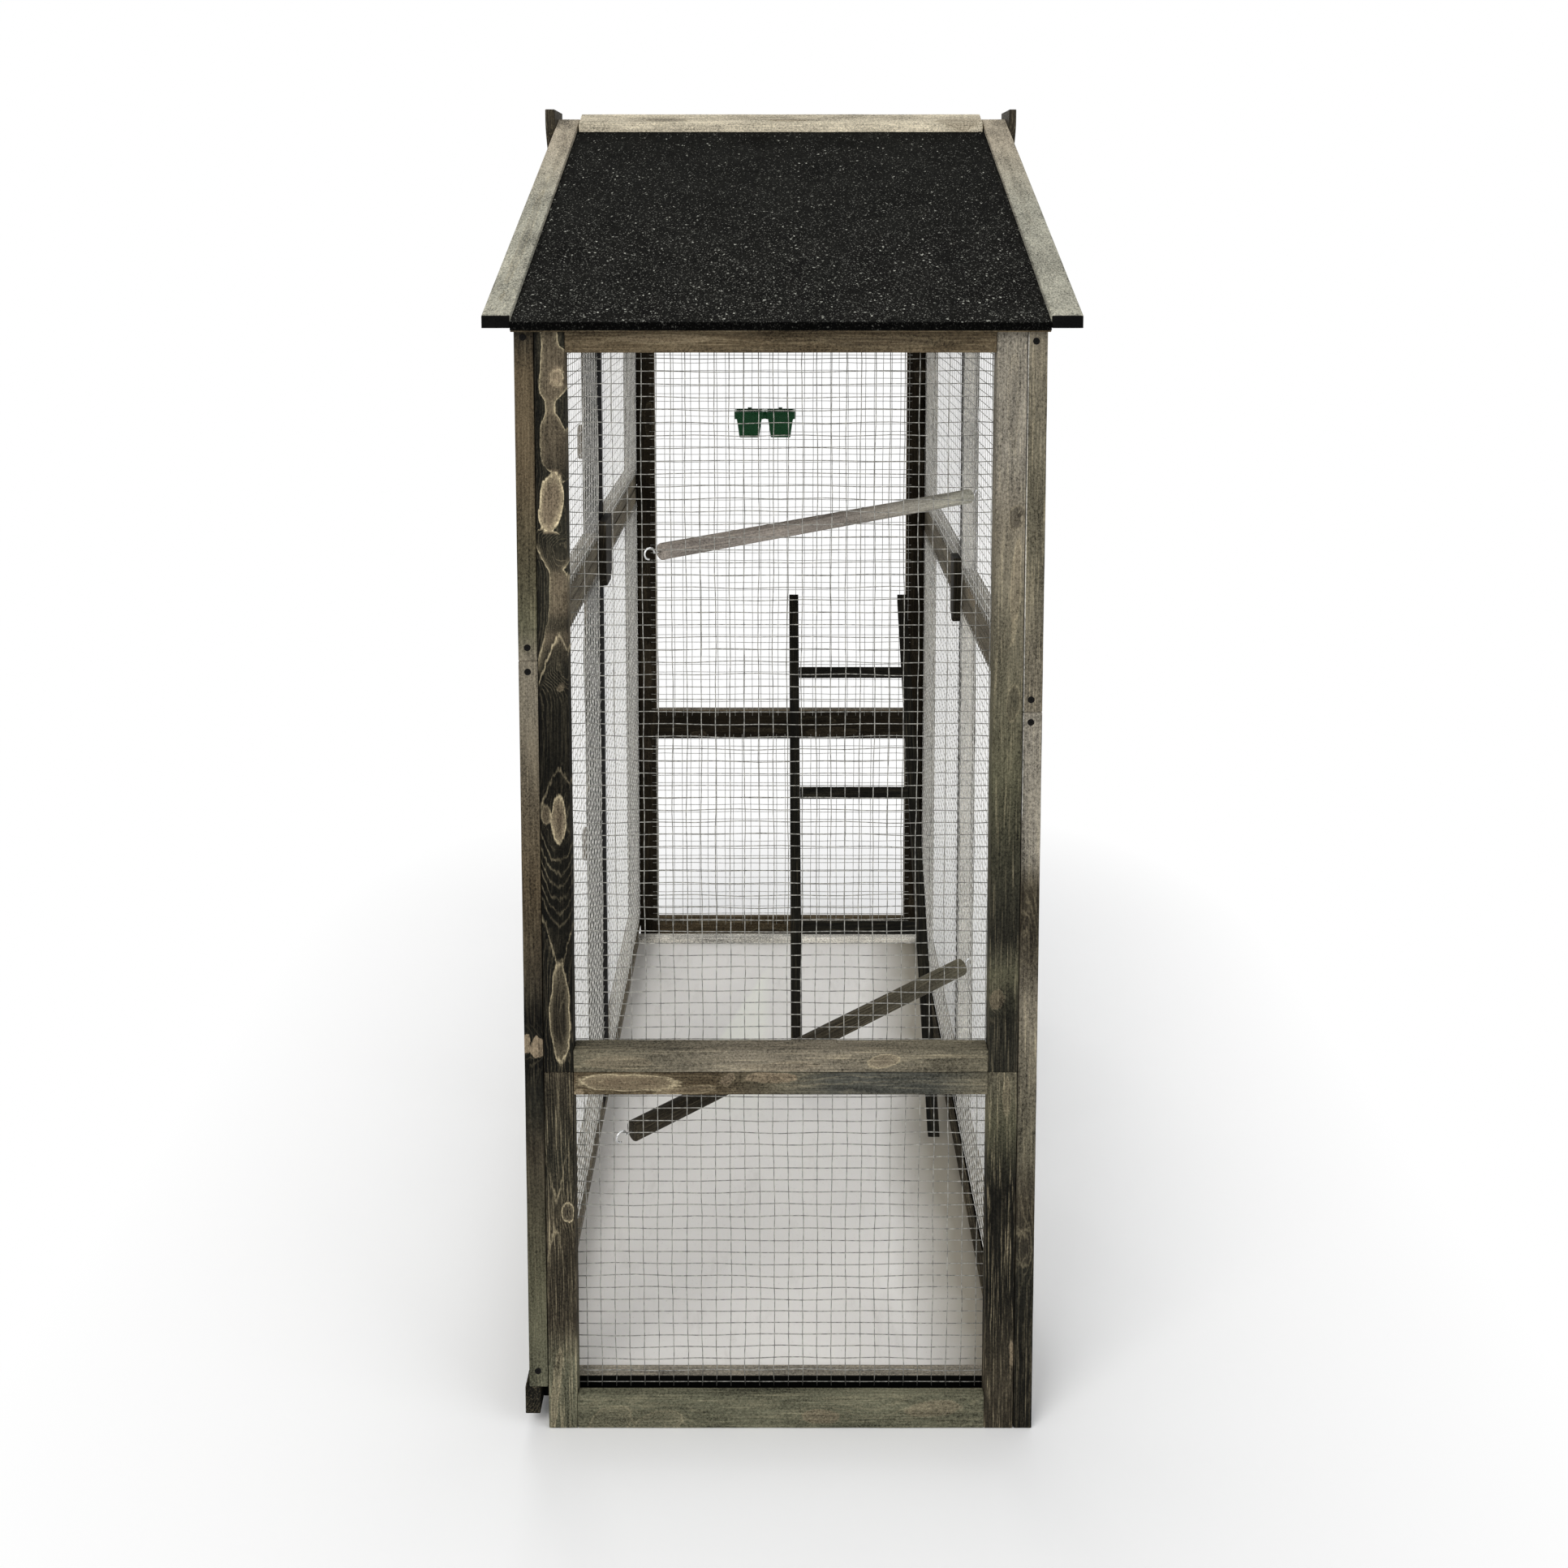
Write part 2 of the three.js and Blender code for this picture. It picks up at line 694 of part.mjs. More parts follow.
// Perches. A screw hook is drawn along x with its ring's middle at the origin and its
// shank towards -x: it goes up over the carrying wire, round and back underneath.
function screwHook() {
  const radius = hookRingDiameter / 2;
  const points = [];
  for (let i = 0; i <= hookSteps; i += 1) {
    const angle = Math.PI - 2 * Math.PI * hookTurnShare * (i / hookSteps);
    points.push(new THREE.Vector3(radius * Math.cos(angle), 0, radius * Math.sin(angle)));
  }
  points.unshift(new THREE.Vector3(-radius - hookShankLength, 0, 0));
  const path = new THREE.CatmullRomCurve3(points, false, 'centripetal');
  const section = new THREE.Shape();
  section.absarc(0, 0, hookRodDiameter / 2, 0, 2 * Math.PI, false);
  return new THREE.ExtrudeGeometry(section, {
    steps: 2 * hookSteps,
    curveSegments: rodSides / 2,
    bevelEnabled: false,
    extrudePath: path,
  });
}

function perchRod(length, diameter) {
  const radius = diameter / 2;
  const profile = [
    new THREE.Vector2(0, -length / 2),
    new THREE.Vector2(radius - perchChamfer, -length / 2),
    new THREE.Vector2(radius, -length / 2 + perchChamfer),
    new THREE.Vector2(radius, length / 2 - perchChamfer),
    new THREE.Vector2(radius - perchChamfer, length / 2),
    new THREE.Vector2(0, length / 2),
  ];
  const rod = new THREE.LatheGeometry(profile, perchSides);
  return rod.rotateZ(-Math.PI / 2);
}

// A perch hangs between a wire of the right end's net and a wire of the back net
function addPerch(name, diameter, nearPlace, farPlace, height) {
  const netMiddle = fitGap + wireDiameter / 2;
  const near = new THREE.Vector3(-nearPlace, -innerHalfLength + netMiddle, height);
  const far = new THREE.Vector3(innerHalfWidth - netMiddle, -halfLength + farPlace, height);
  const span = new THREE.Vector3().subVectors(far, near);
  const shank = hookRingDiameter / 2 + hookShankLength + fitGap;
  const perch = new THREE.Group();
  perch.position.copy(near).addScaledVector(span, 1 / 2);
  perch.rotation.z = Math.atan2(span.y, span.x);
  aviary.add(perch);
  addPiece(perch, name, perchRod(span.length() - 2 * shank, diameter), materials.darkWood());
  const farHook = addPiece(perch, `${name}_back_hook`, screwHook(), materials.steel());
  farHook.position.x = span.length() / 2;
  const nearHook = addPiece(perch, `${name}_right_hook`, screwHook(), materials.steel());
  nearHook.position.x = -span.length() / 2;
  nearHook.rotation.z = Math.PI;
}

addPerch('upper_perch', upperPerchDiameter, upperPerchNearPlace, upperPerchFarPlace, upperPerchHeight);
addPerch('lower_perch', lowerPerchDiameter, lowerPerchNearPlace, lowerPerchFarPlace, lowerPerchHeight);

// Ladder: it leans on the left end's net, and its group lies along the rails. In the
// group, x is across, z runs up the rails and y is square to them.
const ladderRise = ladderTopHeight - ladderFootHeight;
const ladderLength = Math.hypot(ladderRun, ladderRise);
const ladder = new THREE.Group();
const ladderLean = Math.atan2(ladderRun, ladderRise);
ladder.rotation.x = -ladderLean;
ladder.position.set(ladderPlace, innerHalfLength - wireDiameter - 2 * fitGap, ladderTopHeight);
aviary.add(ladder);

// The rails' tops and feet are cut to stand upright against the net and level below
function ladderRail(x0, footShort) {
  const tan = Math.tan(ladderLean);
  const low = -ladderLength + footShort;
  const outline = shapeOf([
    [0, low],
    [ladderRailDepth, low + ladderRailDepth * tan],
    [ladderRailDepth, -ladderRailDepth / tan],
    [0, 0],
  ]);
  return extrudeAlongX(outline, x0, x0 + ladderRailWidth);
}

const ladderInnerHalf = ladderInnerWidth / 2;
addPiece(
  ladder,
  'ladder_front_rail',
  ladderRail(-ladderInnerHalf - ladderRailWidth, ladderShortRail),
  materials.darkWood(),
);
addPiece(ladder, 'ladder_back_rail', ladderRail(ladderInnerHalf, 0), materials.darkWood());
for (let i = 0; i < ladderRungs; i += 1) {
  const down = ladderFirstRung + i * ladderRungSpacing;
  const rung = boxBetween(
    [-ladderInnerHalf + fitGap, 0, -down - ladderRungHeight / 2],
    [ladderInnerHalf - fitGap, ladderRungDepth, -down + ladderRungHeight / 2],
  );
  addPiece(ladder, `ladder_rung_${i + 1}`, rung, materials.darkWood());
}

// Double feeder: two open tapered cups under one rim, hung by two hooks on a wire.
// It is drawn with its back at y = 0 and its depth towards -y.
function feederCup(middle) {
  const half = (feederWidth / 2 - feederCupGap / 2) / 2;
  const outer = taperedCup(middle, half, feederTaper, feederDepth, -feederHeight, 0, 0);
  const inner = taperedCup(
    middle,
    half - feederWall,
    feederTaper,
    feederDepth - 2 * feederWall,
    -feederHeight + feederWall,
    cutOverrun,
    -feederWall,
  );
  return { outer, inner };
}

// A block whose sides draw in towards the bottom
function taperedCup(middle, half, taper, depth, z0, z1, yBack) {
  const outline = shapeOf([
    [middle - half, z1],
    [middle - half + taper, z0],
    [middle + half - taper, z0],
    [middle + half, z1],
  ]);
  return extrudeAlongY(outline, yBack - depth, yBack);
}

function doubleFeeder() {
  const middle = (feederWidth / 2 + feederCupGap / 2) / 2;
  const cups = [feederCup(-middle), feederCup(middle)];
  const reach = feederWidth / 2 + feederRimReach;
  const rim = boxBetween([-reach, -feederDepth - feederRimReach, -feederRimHeight], [reach, 0, 0]);
  let body = toSolid(rim);
  for (const cup of cups) {
    body = body.add(toSolid(cup.outer));
  }
  for (const cup of cups) {
    body = body.subtract(toSolid(cup.inner));
  }
  const wireTop = wireDiameter / 2 + fitGap;
  for (const place of [-middle, middle]) {
    const x0 = place - feederHookWidth / 2;
    const x1 = place + feederHookWidth / 2;
    const outside = wireDiameter + 2 * fitGap;
    const bridge = boxBetween([x0, -feederWall, -feederHookThickness], [x1, 0, wireTop + feederHookThickness]);
    const top = boxBetween(
      [x0, -feederWall, wireTop],
      [x1, outside + feederHookThickness, wireTop + feederHookThickness],
    );
    const tongue = boxBetween(
      [x0, outside, wireTop - feederHookDrop],
      [x1, outside + feederHookThickness, wireTop + feederHookThickness],
    );
    body = body.add(toSolid(bridge)).add(toSolid(top)).add(toSolid(tongue));
  }
  return toGeometry(body);
}

const feeder = addPiece(aviary, 'double_feeder', doubleFeeder(), materials.greenPlastic());
feeder.position.set(-feederPlace, innerHalfLength - wireDiameter - 2 * fitGap, feederTopHeight);

// Hinges: on the left end's outer face, one leaf on the end wall's stile and one on the
// edge of the door. Each is drawn with its pin on the z axis, the fixed leaf towards +x,
// the door's leaf towards -x, and both leaves' backs at y = -hingeSeat.
const hingeSeat = hingeBarrelDiameter / 2 + fitGap;
const barrelRadius = hingeBarrelDiameter / 2;
const knuckleLength = hingeLeafHeight / 3;

function barrel(z0, z1, radius) {
  const cylinder = new THREE.CylinderGeometry(radius, radius, z1 - z0, roundSides / 2);
  cylinder.rotateX(Math.PI / 2);
  return cylinder.translate(0, 0, (z0 + z1) / 2);
}

// One leaf plate with its curl up to the barrel
function leafPlate(direction, z0, z1) {
  const far = direction * hingeLeafWidth;
  const near = direction * fitGap;
  const [x0, x1] = direction > 0 ? [near, far] : [far, near];
  return boxBetween([x0, -hingeSeat, z0], [x1, -hingeSeat + hingeLeafThickness, z1]);
}

function fixedLeaf() {
  const half = hingeLeafHeight / 2;
  const middle = knuckleLength / 2;
  let leaf = toSolid(leafPlate(1, -half, half));
  leaf = leaf.subtract(toSolid(boxBetween(
    [-cutOverrun, -cutOverrun - hingeSeat, -middle - fitGap],
    [barrelRadius + fitGap, cutOverrun, middle + fitGap],
  )));
  leaf = leaf.add(toSolid(barrel(middle + fitGap, half, barrelRadius)));
  leaf = leaf.add(toSolid(barrel(-half, -middle - fitGap, barrelRadius)));
  leaf = leaf.add(toSolid(barrel(-half, half, hingePinDiameter / 2)));
  return toGeometry(leaf);
}

function doorLeaf() {
  const half = hingeLeafHeight / 2;
  const middle = knuckleLength / 2;
  let leaf = toSolid(leafPlate(-1, -half, half));
  for (const [z0, z1] of [[middle - fitGap, half + cutOverrun], [-half - cutOverrun, -middle + fitGap]]) {
    leaf = leaf.subtract(toSolid(boxBetween(
      [-barrelRadius - fitGap, -cutOverrun - hingeSeat, z0],
      [cutOverrun, cutOverrun, z1],
    )));
  }
  leaf = leaf.add(toSolid(barrel(-middle + fitGap, middle - fitGap, barrelRadius)));
  leaf = leaf.subtract(toSolid(barrel(-half, half, hingePinDiameter / 2 + fitGap)));
  return toGeometry(leaf);
}

function addHinge(name, height) {
  const hinge = new THREE.Group();
  hinge.position.set(-innerHalfWidth - cornerGap / 2, halfLength + hingeSeat, height);
  aviary.add(hinge);
  addPiece(hinge, `${name}_fixed_leaf`, fixedLeaf(), materials.steel());
  addPiece(hinge, `${name}_door_leaf`, doorLeaf(), materials.steel());
}

addHinge('lower_door_bottom_hinge', doorFrames.lower.z0 + hingeInset);
addHinge('lower_door_top_hinge', doorFrames.lower.z1 - hingeInset);
addHinge('upper_door_bottom_hinge', doorFrames.upper.z0 + upperHingeInset);
addHinge('upper_door_top_hinge', doorFrames.upper.z1 - upperHingeInset);

// Turn buttons: on the fixed middle stile beside each door, hanging clear of it
function turnButton() {
  const radius = turnButtonWidth / 2;
  const low = -(turnButtonLength - turnButtonPivotInset);
  const outline = new THREE.Shape();
  outline.moveTo(radius, 0);
  outline.absarc(0, 0, radius, 0, Math.PI, false);
  outline.lineTo(-radius, low + radius);
  outline.absarc(0, low + radius, radius, Math.PI, 2 * Math.PI, false);
  outline.lineTo(radius, 0);
  const solid = new THREE.ExtrudeGeometry(outline, {
    depth: turnButtonThickness,
    bevelEnabled: false,
    curveSegments: roundSides / 2,
  });
  solid.rotateX(Math.PI / 2);
  return solid;
}

const turnButtonPlace = stileWidth / 2;
for (const [name, frame] of [['lower', doorFrames.lower], ['upper', doorFrames.upper]]) {
  const button = addPiece(frontWall, `${name}_turn_button`, turnButton(), materials.darkWood());
  button.position.set(turnButtonPlace, -lathThickness - turnButtonStandoff, (frame.z0 + frame.z1) / 2);
}

export default aviary;
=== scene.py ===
"""Bird aviary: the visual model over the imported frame. Metres, +Z up, front at -X."""
import math
import random

import bpy
import numpy as np
from mathutils import Matrix, Vector, noise


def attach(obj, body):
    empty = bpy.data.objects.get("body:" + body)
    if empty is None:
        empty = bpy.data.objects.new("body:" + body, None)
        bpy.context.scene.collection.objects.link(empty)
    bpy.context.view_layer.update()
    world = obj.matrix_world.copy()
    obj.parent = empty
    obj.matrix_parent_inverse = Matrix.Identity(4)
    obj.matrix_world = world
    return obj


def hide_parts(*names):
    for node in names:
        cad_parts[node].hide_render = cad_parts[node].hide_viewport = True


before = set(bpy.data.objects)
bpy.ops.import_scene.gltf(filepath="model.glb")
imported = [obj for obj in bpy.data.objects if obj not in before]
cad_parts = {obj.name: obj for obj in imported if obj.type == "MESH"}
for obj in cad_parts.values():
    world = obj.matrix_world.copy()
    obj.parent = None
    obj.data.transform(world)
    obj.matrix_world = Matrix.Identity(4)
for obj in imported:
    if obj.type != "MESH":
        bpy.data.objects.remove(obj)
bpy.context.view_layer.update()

MM = 0.001
scene = bpy.context.scene

# Sizes, in millimetres, as in the solids
HALF_LENGTH = 627.0
HALF_WIDTH = 340.0
LATH = 25.0
STILE = 39.0
INNER_LENGTH = HALF_LENGTH - LATH
INNER_WIDTH = HALF_WIDTH - LATH
END_HALF = INNER_WIDTH - 0.8
WALL_TOP = 1495.0
RIGHT_SEAM = 505.0
LEFT_SEAM = 529.0
BACK_SEAM = 995.0
FRONT_SEAM = 1063.0
FRONT_FOOT = 60.0
END_RAIL = 31.0
LONG_RAIL = 38.0
PLINTH = 49.0
LEFT_PLINTH = 81.0
PLINTH_DEPTH = 12.0
DOOR_GAP = 2.0
FIT = 0.3
WIRE = 1.4
NET_WIRE = 1.2
NET_LAP = 10.0
MESH_ACROSS = 19.0
MESH_UP = 16.7
ROOF_SLOPE = 292.0 / HALF_LENGTH
ROOF_ANGLE = math.atan(ROOF_SLOPE)
EAVE = -(HALF_LENGTH + 10.0)
ROOF_BASE = WALL_TOP + FIT
ROOF_HALF = HALF_WIDTH + 2.0
EAVE_UNDERSIDE = ROOF_BASE - 10.0 * ROOF_SLOPE
UPPER_PERCH = 1198.5
LOWER_PERCH = 398.0
HOOK_WIRE_LIFT = 5.2
UPPER_NEAR, UPPER_FAR = 171.5, 431.0
LOWER_NEAR, LOWER_FAR = 215.5, 470.0
FEEDER_RIM = 1234.0


def linear(values):
    """Linear light for colours given as 0-255 values."""
    c = np.asarray(values, float) / 255
    return np.where(c <= 0.04045, c / 12.92, ((c + 0.055) / 1.055) ** 2.4)


def srgb(r, g, b):
    return (*linear((r, g, b)), 1.0)


# Shader nodes
class Value:
    """One output of a node. Signs and methods on it add the next node."""

    def __init__(self, graph, socket):
        self.graph, self.socket = graph, socket

    def beside(self, key):
        """Another output of the same node."""
        return Value(self.graph, self.socket.node.outputs[key])

    def maths(self, op, other=0.0, clamp=False):
        return self.graph.put("Math", {0: self, 1: other}, operation=op, use_clamp=clamp)

    def __add__(self, other):
        return self.maths("ADD", other)

    def __sub__(self, other):
        return self.maths("SUBTRACT", other)

    def __mul__(self, other):
        return self.maths("MULTIPLY", other)

    def __abs__(self):
        return self.maths("ABSOLUTE")

    def span(self, low, high, to_low=0.0, to_high=1.0):
        """Maps low..high to to_low..to_high and holds the ends beyond them."""
        inputs = {"Value": self, "From Min": low, "From Max": high, "To Min": to_low, "To Max": to_high}
        return self.graph.put("MapRange", inputs, clamp=True)


class Graph:
    """The node tree of a material or a world."""

    def __init__(self, name, world=False):
        self.owner = (bpy.data.worlds if world else bpy.data.materials).new(name)
        self.owner.use_nodes = True
        self.tree = self.owner.node_tree
        self.tree.nodes.clear()

    def put(self, kind, inputs=None, out=0, **props):
        """Adds a node and gives back one of its outputs."""
        node = self.tree.nodes.new("ShaderNode" + kind)
        for key, value in props.items():
            setattr(node, key, value)
        for key, value in (inputs or {}).items():
            if isinstance(value, Value):
                self.tree.links.new(value.socket, node.inputs[key])
            else:
                node.inputs[key].default_value = value
        return Value(self, node.outputs[out])

    def place(self):
        return self.put("TexCoord", out="Object")

    def split(self, value, kind="SeparateXYZ"):
        first = self.put(kind, {0: value})
        return [first.beside(k) for k in range(3)]

    def vector(self, op, a, b=(0, 0, 0), out=0):
        return self.put("VectorMath", {0: a, 1: b}, out, operation=op)

    def blend(self, factor, a, b):
        return self.put("Mix", {0: factor, 6: a, 7: b}, 2, data_type="RGBA")

    def noise(self, place, scale, detail=2.0, roughness=0.5):
        return self.put("TexNoise", {"Vector": place, "Scale": scale, "Detail": detail, "Roughness": roughness})

    def surface(self, colour, roughness, relief=None, **sockets):
        """A principled surface. relief is a height, its strength and its distance in metres."""
        inputs = {"Base Color": colour, "Roughness": roughness}
        inputs.update({key.replace("_", " "): value for key, value in sockets.items()})
        if relief:
            inputs["Normal"] = self.put("Bump", dict(zip(("Height", "Strength", "Distance"), relief)))
        return self.put("BsdfPrincipled", inputs)

    def finish(self, shader, output="OutputMaterial"):
        """Ends the tree and gives back the material or world."""
        end = self.tree.nodes.new("ShaderNode" + output)
        self.tree.links.new(shader.socket, end.inputs[0])
        return self.owner


# Materials
def wood_material(name, roughness=0.86, grit=3.4):
    """Weathered lath wood. The mesh carries its grain coordinates, its tint and its given figure:
    mark is the distance into an island in mm, its fill and the ring count, and figure is how strongly
    ring lines, fibre streaks and island rims show."""
    g = Graph(name)
    grain, mark, figure, tint = [
        g.put("Attribute", out=out, attribute_name=key)
        for key, out in (("grain", "Vector"), ("mark", "Vector"), ("figure", "Vector"), ("tint", "Color"))]
    depth, fill, count = g.split(mark)
    lines, streaks, rims = g.split(figure)

    def stretched(sizes, detail=2.0, rough=0.5):
        return g.noise(g.vector("MULTIPLY", grain, sizes), 1.0, detail, rough)

    wobble = stretched((36, 130, 130), 3.0, 0.6) - 0.5
    ragged = stretched((60, 620, 620), 2.0, 0.6) - 0.5
    drift = stretched((19, 62, 62)) - 0.5
    fibres = stretched((11, 460, 460), 4.0, 0.62)
    patches = stretched((7, 34, 34), 3.0, 0.55)
    grains = stretched((300, 380, 380), 3.0, 0.85)

    # Islands with their rims, ring lines and fibre streaks
    into = depth + wobble * 5.0 + drift * 8.0 + ragged * 2.4
    inside = into.span(-0.3, 0.4)
    rim = abs(into).span(0.15, 1.25, 1.0, 0.0) * rims
    glow = into.span(0.4, 6.0, 0.3, 0.0) * inside * rims
    turn = (wobble * 1.5 + count).maths("FRACT")
    line = abs(turn - 0.5).span(0.3, 0.5) * lines * patches.span(0.35, 0.6, 0.25, 1.0)
    streak = fibres.span(0.54, 0.7) * streaks

    shade = patches.span(0.3, 0.7, 0.64, 1.3) + (fibres - 0.52) * 1.5 + (grains - 0.5) * grit
    shade = shade.maths("MAXIMUM", 0.12)

    def shaded(colour):
        return g.put("VectorMath", {0: colour, "Scale": shade}, operation="SCALE")

    # The blends hold their factor between 0 and 1, so fill above 0 bares the wood and below 0 burns it
    body = g.blend(fill * inside, shaded(tint), shaded(linear((128, 114, 94))))
    body = g.blend(fill * inside * -1.0, body, srgb(24, 20, 20))
    lifted = rim.maths("MAXIMUM", glow).maths("MAXIMUM", line).maths("MAXIMUM", streak)
    body = g.blend(lifted * 0.85, body, shaded(linear((192, 178, 146))))
    rough = fibres.span(0.3, 0.7, roughness - 0.08, roughness + 0.1)
    relief = (fibres * 0.8 + grains * 0.25, 0.5, 0.0006)
    return g.finish(g.surface(body, rough, relief, Specular_IOR_Level=0.08))


def felt_material():
    """Slated roof felt: black, with fine pale grains that lie thicker towards the eave."""
    g = Graph("mineral_felt")
    place = g.place()
    _, across, height = g.split(place)
    fine, coarse = [g.put("TexVoronoi", {"Vector": place, "Scale": scale}, "Distance") for scale in (760.0, 430.0)]
    tone, fine_pick, _ = g.split(fine.beside("Color"), "SeparateColor")
    _, coarse_pick, _ = g.split(coarse.beside("Color"), "SeparateColor")
    cloud = g.noise(place, 14.0, 4.0, 0.65)
    speck = fine_pick.span(height.span(1.8, 1.5, 0.97, 0.88), 1.0, 0.0, 0.2)
    chip = coarse_pick.span(height.span(1.8, 1.5, 0.995, 0.985), 1.0, 0.0, 0.5)
    grey = tone.span(0.0, 1.0, 0.001, 0.015) * cloud.span(0.3, 0.7, 0.6, 1.5) + speck.maths("MAXIMUM", chip)
    # The lip down over the eave is painted darker: painted shade
    grey = grey * abs(across).span(0.6365, 0.638, 1.0, 0.12)
    colour = g.put("CombineColor", {0: grey, 1: grey, 2: grey * 0.88})
    return g.finish(g.surface(colour, 0.95, (fine, 0.5, 0.0006), Specular_IOR_Level=0.04))


def wire_material(name, dark, light):
    g = Graph(name)
    spangle = g.noise(g.place(), 160.0, 2.0, 0.6)
    colour = g.blend(spangle.span(0.35, 0.65), dark, light)
    return g.finish(g.surface(colour, spangle.span(0.3, 0.7, 0.42, 0.62), Metallic=0.2))


def steel_material(name, dark, light, roughness, metallic, specular):
    g = Graph(name)
    mottle = g.noise(g.place(), 300.0, 4.0, 0.65)
    colour = g.blend(mottle.span(0.35, 0.7), dark, light)
    rough = mottle.span(0.3, 0.7, roughness - 0.08, roughness + 0.12)
    relief = (mottle, 0.15, 0.0002)
    return g.finish(g.surface(colour, rough, relief, Metallic=metallic, Specular_IOR_Level=specular))


def plastic_material():
    g = Graph("green_plastic")
    place = g.place()
    dust = g.noise(place, 60.0, 4.0, 0.6)
    colour = g.blend(dust.span(0.5, 0.8, 0.0, 0.2), srgb(0, 64, 28), srgb(26, 84, 48))
    relief = (g.noise(place, 900.0), 0.12, 0.0002)
    return g.finish(g.surface(colour, dust.span(0.35, 0.7, 0.36, 0.56), relief, Specular_IOR_Level=0.25))


def sheet_material():
    """The tray's coated floor: off-white, with faint scuffs, a paler patch of painted light and a browner right
    edge.
    """
    g = Graph("coated_white_board")
    place = g.place()
    x, y, _ = g.split(place)
    cloud = g.noise(place, 3.2, 3.0, 0.6)
    scuff = g.noise(g.vector("MULTIPLY", place, (30, 9, 30)), 1.0, 5.0, 0.7)
    speck = g.noise(place, 420.0, 2.0, 0.6)
    colour = g.blend(cloud.span(0.3, 0.7), srgb(238, 235, 231), srgb(250, 247, 242))
    colour = g.blend(scuff.span(0.56, 0.75, 0.0, 0.3), colour, srgb(180, 175, 166))
    # A paler patch: a painted pool of light
    light_patch = (x - y * 0.35).span(-0.2, -0.19) * x.span(-0.04, -0.02, 1.0, 0.0) * y.span(-0.05, 0.1)
    colour = g.blend(light_patch * 0.85, colour, srgb(252, 252, 242))
    colour = g.blend((x + cloud * 0.12).span(0.24, 0.33, 0.0, 0.9), colour, srgb(136, 128, 110))
    colour = g.blend(speck.span(0.66, 0.8, 0.0, 0.5), colour, srgb(140, 136, 120))
    return g.finish(g.surface(colour, 0.62, (scuff, 0.15, 0.0004)))


WOOD = wood_material("weathered_lath_wood")
SMOOTH_WOOD = wood_material("stained_smooth_wood", 0.7, 2.0)
FELT = felt_material()
# Two copies of one galvanised wire: the darker one holds painted shade, the paler one painted light
SHADED_WIRE = wire_material("galvanised_shaded_wire", srgb(98, 97, 92), srgb(176, 174, 166))
LIT_WIRE = wire_material("galvanised_lit_wire", srgb(176, 175, 170), srgb(236, 234, 228))
ZINC = steel_material("zinc_steel", srgb(176, 178, 178), srgb(240, 240, 238), 0.24, 0.85, 0.5)
# Near black: the screw heads, and round them rings of painted shade for the countersunk holes
SCREW = steel_material("dark_screw_and_hole_shade", srgb(6, 6, 6), srgb(20, 19, 17), 0.7, 0.0, 0.1)
PLASTIC = plastic_material()
SHEET = sheet_material()

# Tones of the washed and scorched wood, from bare grey to black
TONES = {
    "chalk": (226, 222, 212),
    "bare": (200, 190, 168),
    "silver": (164, 162, 148),
    "dun": (168, 158, 140),
    "dove": (158, 149, 140),
    "frost": (134, 128, 116),
    "mist": (116, 109, 95),
    "moss": (97, 96, 79),
    "stone": (98, 93, 78),
    "olive": (84, 82, 65),
    "bark": (84, 73, 56),
    "slate": (70, 70, 64),
    "umber": (52, 47, 38),
    "char": (37, 36, 30),
    "pitch": (22, 21, 17),
    "black": (9, 9, 8),
}


class Look:
    """How one lath is coloured and figured. stops are (place, tone) along it; islands are knots and
    figure (along, across, half length, half width, fill, rim, tilt), peaks are single pointed growth rings
    (tip along, across, steepness, way, line width, strength) and bowls are stacks of curved ones (from,
    to, across, curve, spacing, strength). veins are wavy bands, each a list of (along, low edge, high edge,
    fill, rim). shadow is places across and the share of light left there, and paint a last touch on the
    finished values. Every place is in mm in the frame the lath is drawn in. An island's tilt may be left
    out, and a lath without islands gets scattered ones."""

    rings, streaks = 0.22, 0.25
    peaks = bowls = veins = ()
    islands = across = shadow = paint = None

    def __init__(self, *stops, **traits):
        self.stops = [(0.0, stops[0])] if isinstance(stops[0], str) else stops
        self.__dict__.update(traits)

    def tint(self, along, wide):
        places = [place for place, _ in self.stops]
        tones = np.array([TONES[name] for _, name in self.stops], float)
        colour = np.stack([np.interp(along, places, tones[:, k]) for k in range(3)], 1)
        if self.shadow:
            colour *= np.interp(wide, *self.shadow)[:, None]
        return np.concatenate([linear(colour), np.ones((len(colour), 1))], 1)


def scattered(low, high, near, far, dice):
    """Islands for a lath that no photograph shows: a few knots and ovals, spread along it."""
    islands = []
    place = low + dice.uniform(40, 220)
    half = (far - near) / 2
    while place < high - 30:
        long, wide = dice.uniform(16, 60), half * dice.uniform(0.25, 0.8)
        fill = dice.choice((0.35, 0.5, 0.15, -0.35))
        middle = (near + far) / 2 + half * dice.uniform(-0.6, 0.6)
        islands.append((place, middle, long, wide, fill, dice.uniform(0.1, 0.5), dice.uniform(-0.05, 0.05)))
        place += long + dice.uniform(80, 330)
    return islands


NO_ISLAND = -40.0
RING_PITCH, ISLAND_RING_PITCH = 3.6, 4.5


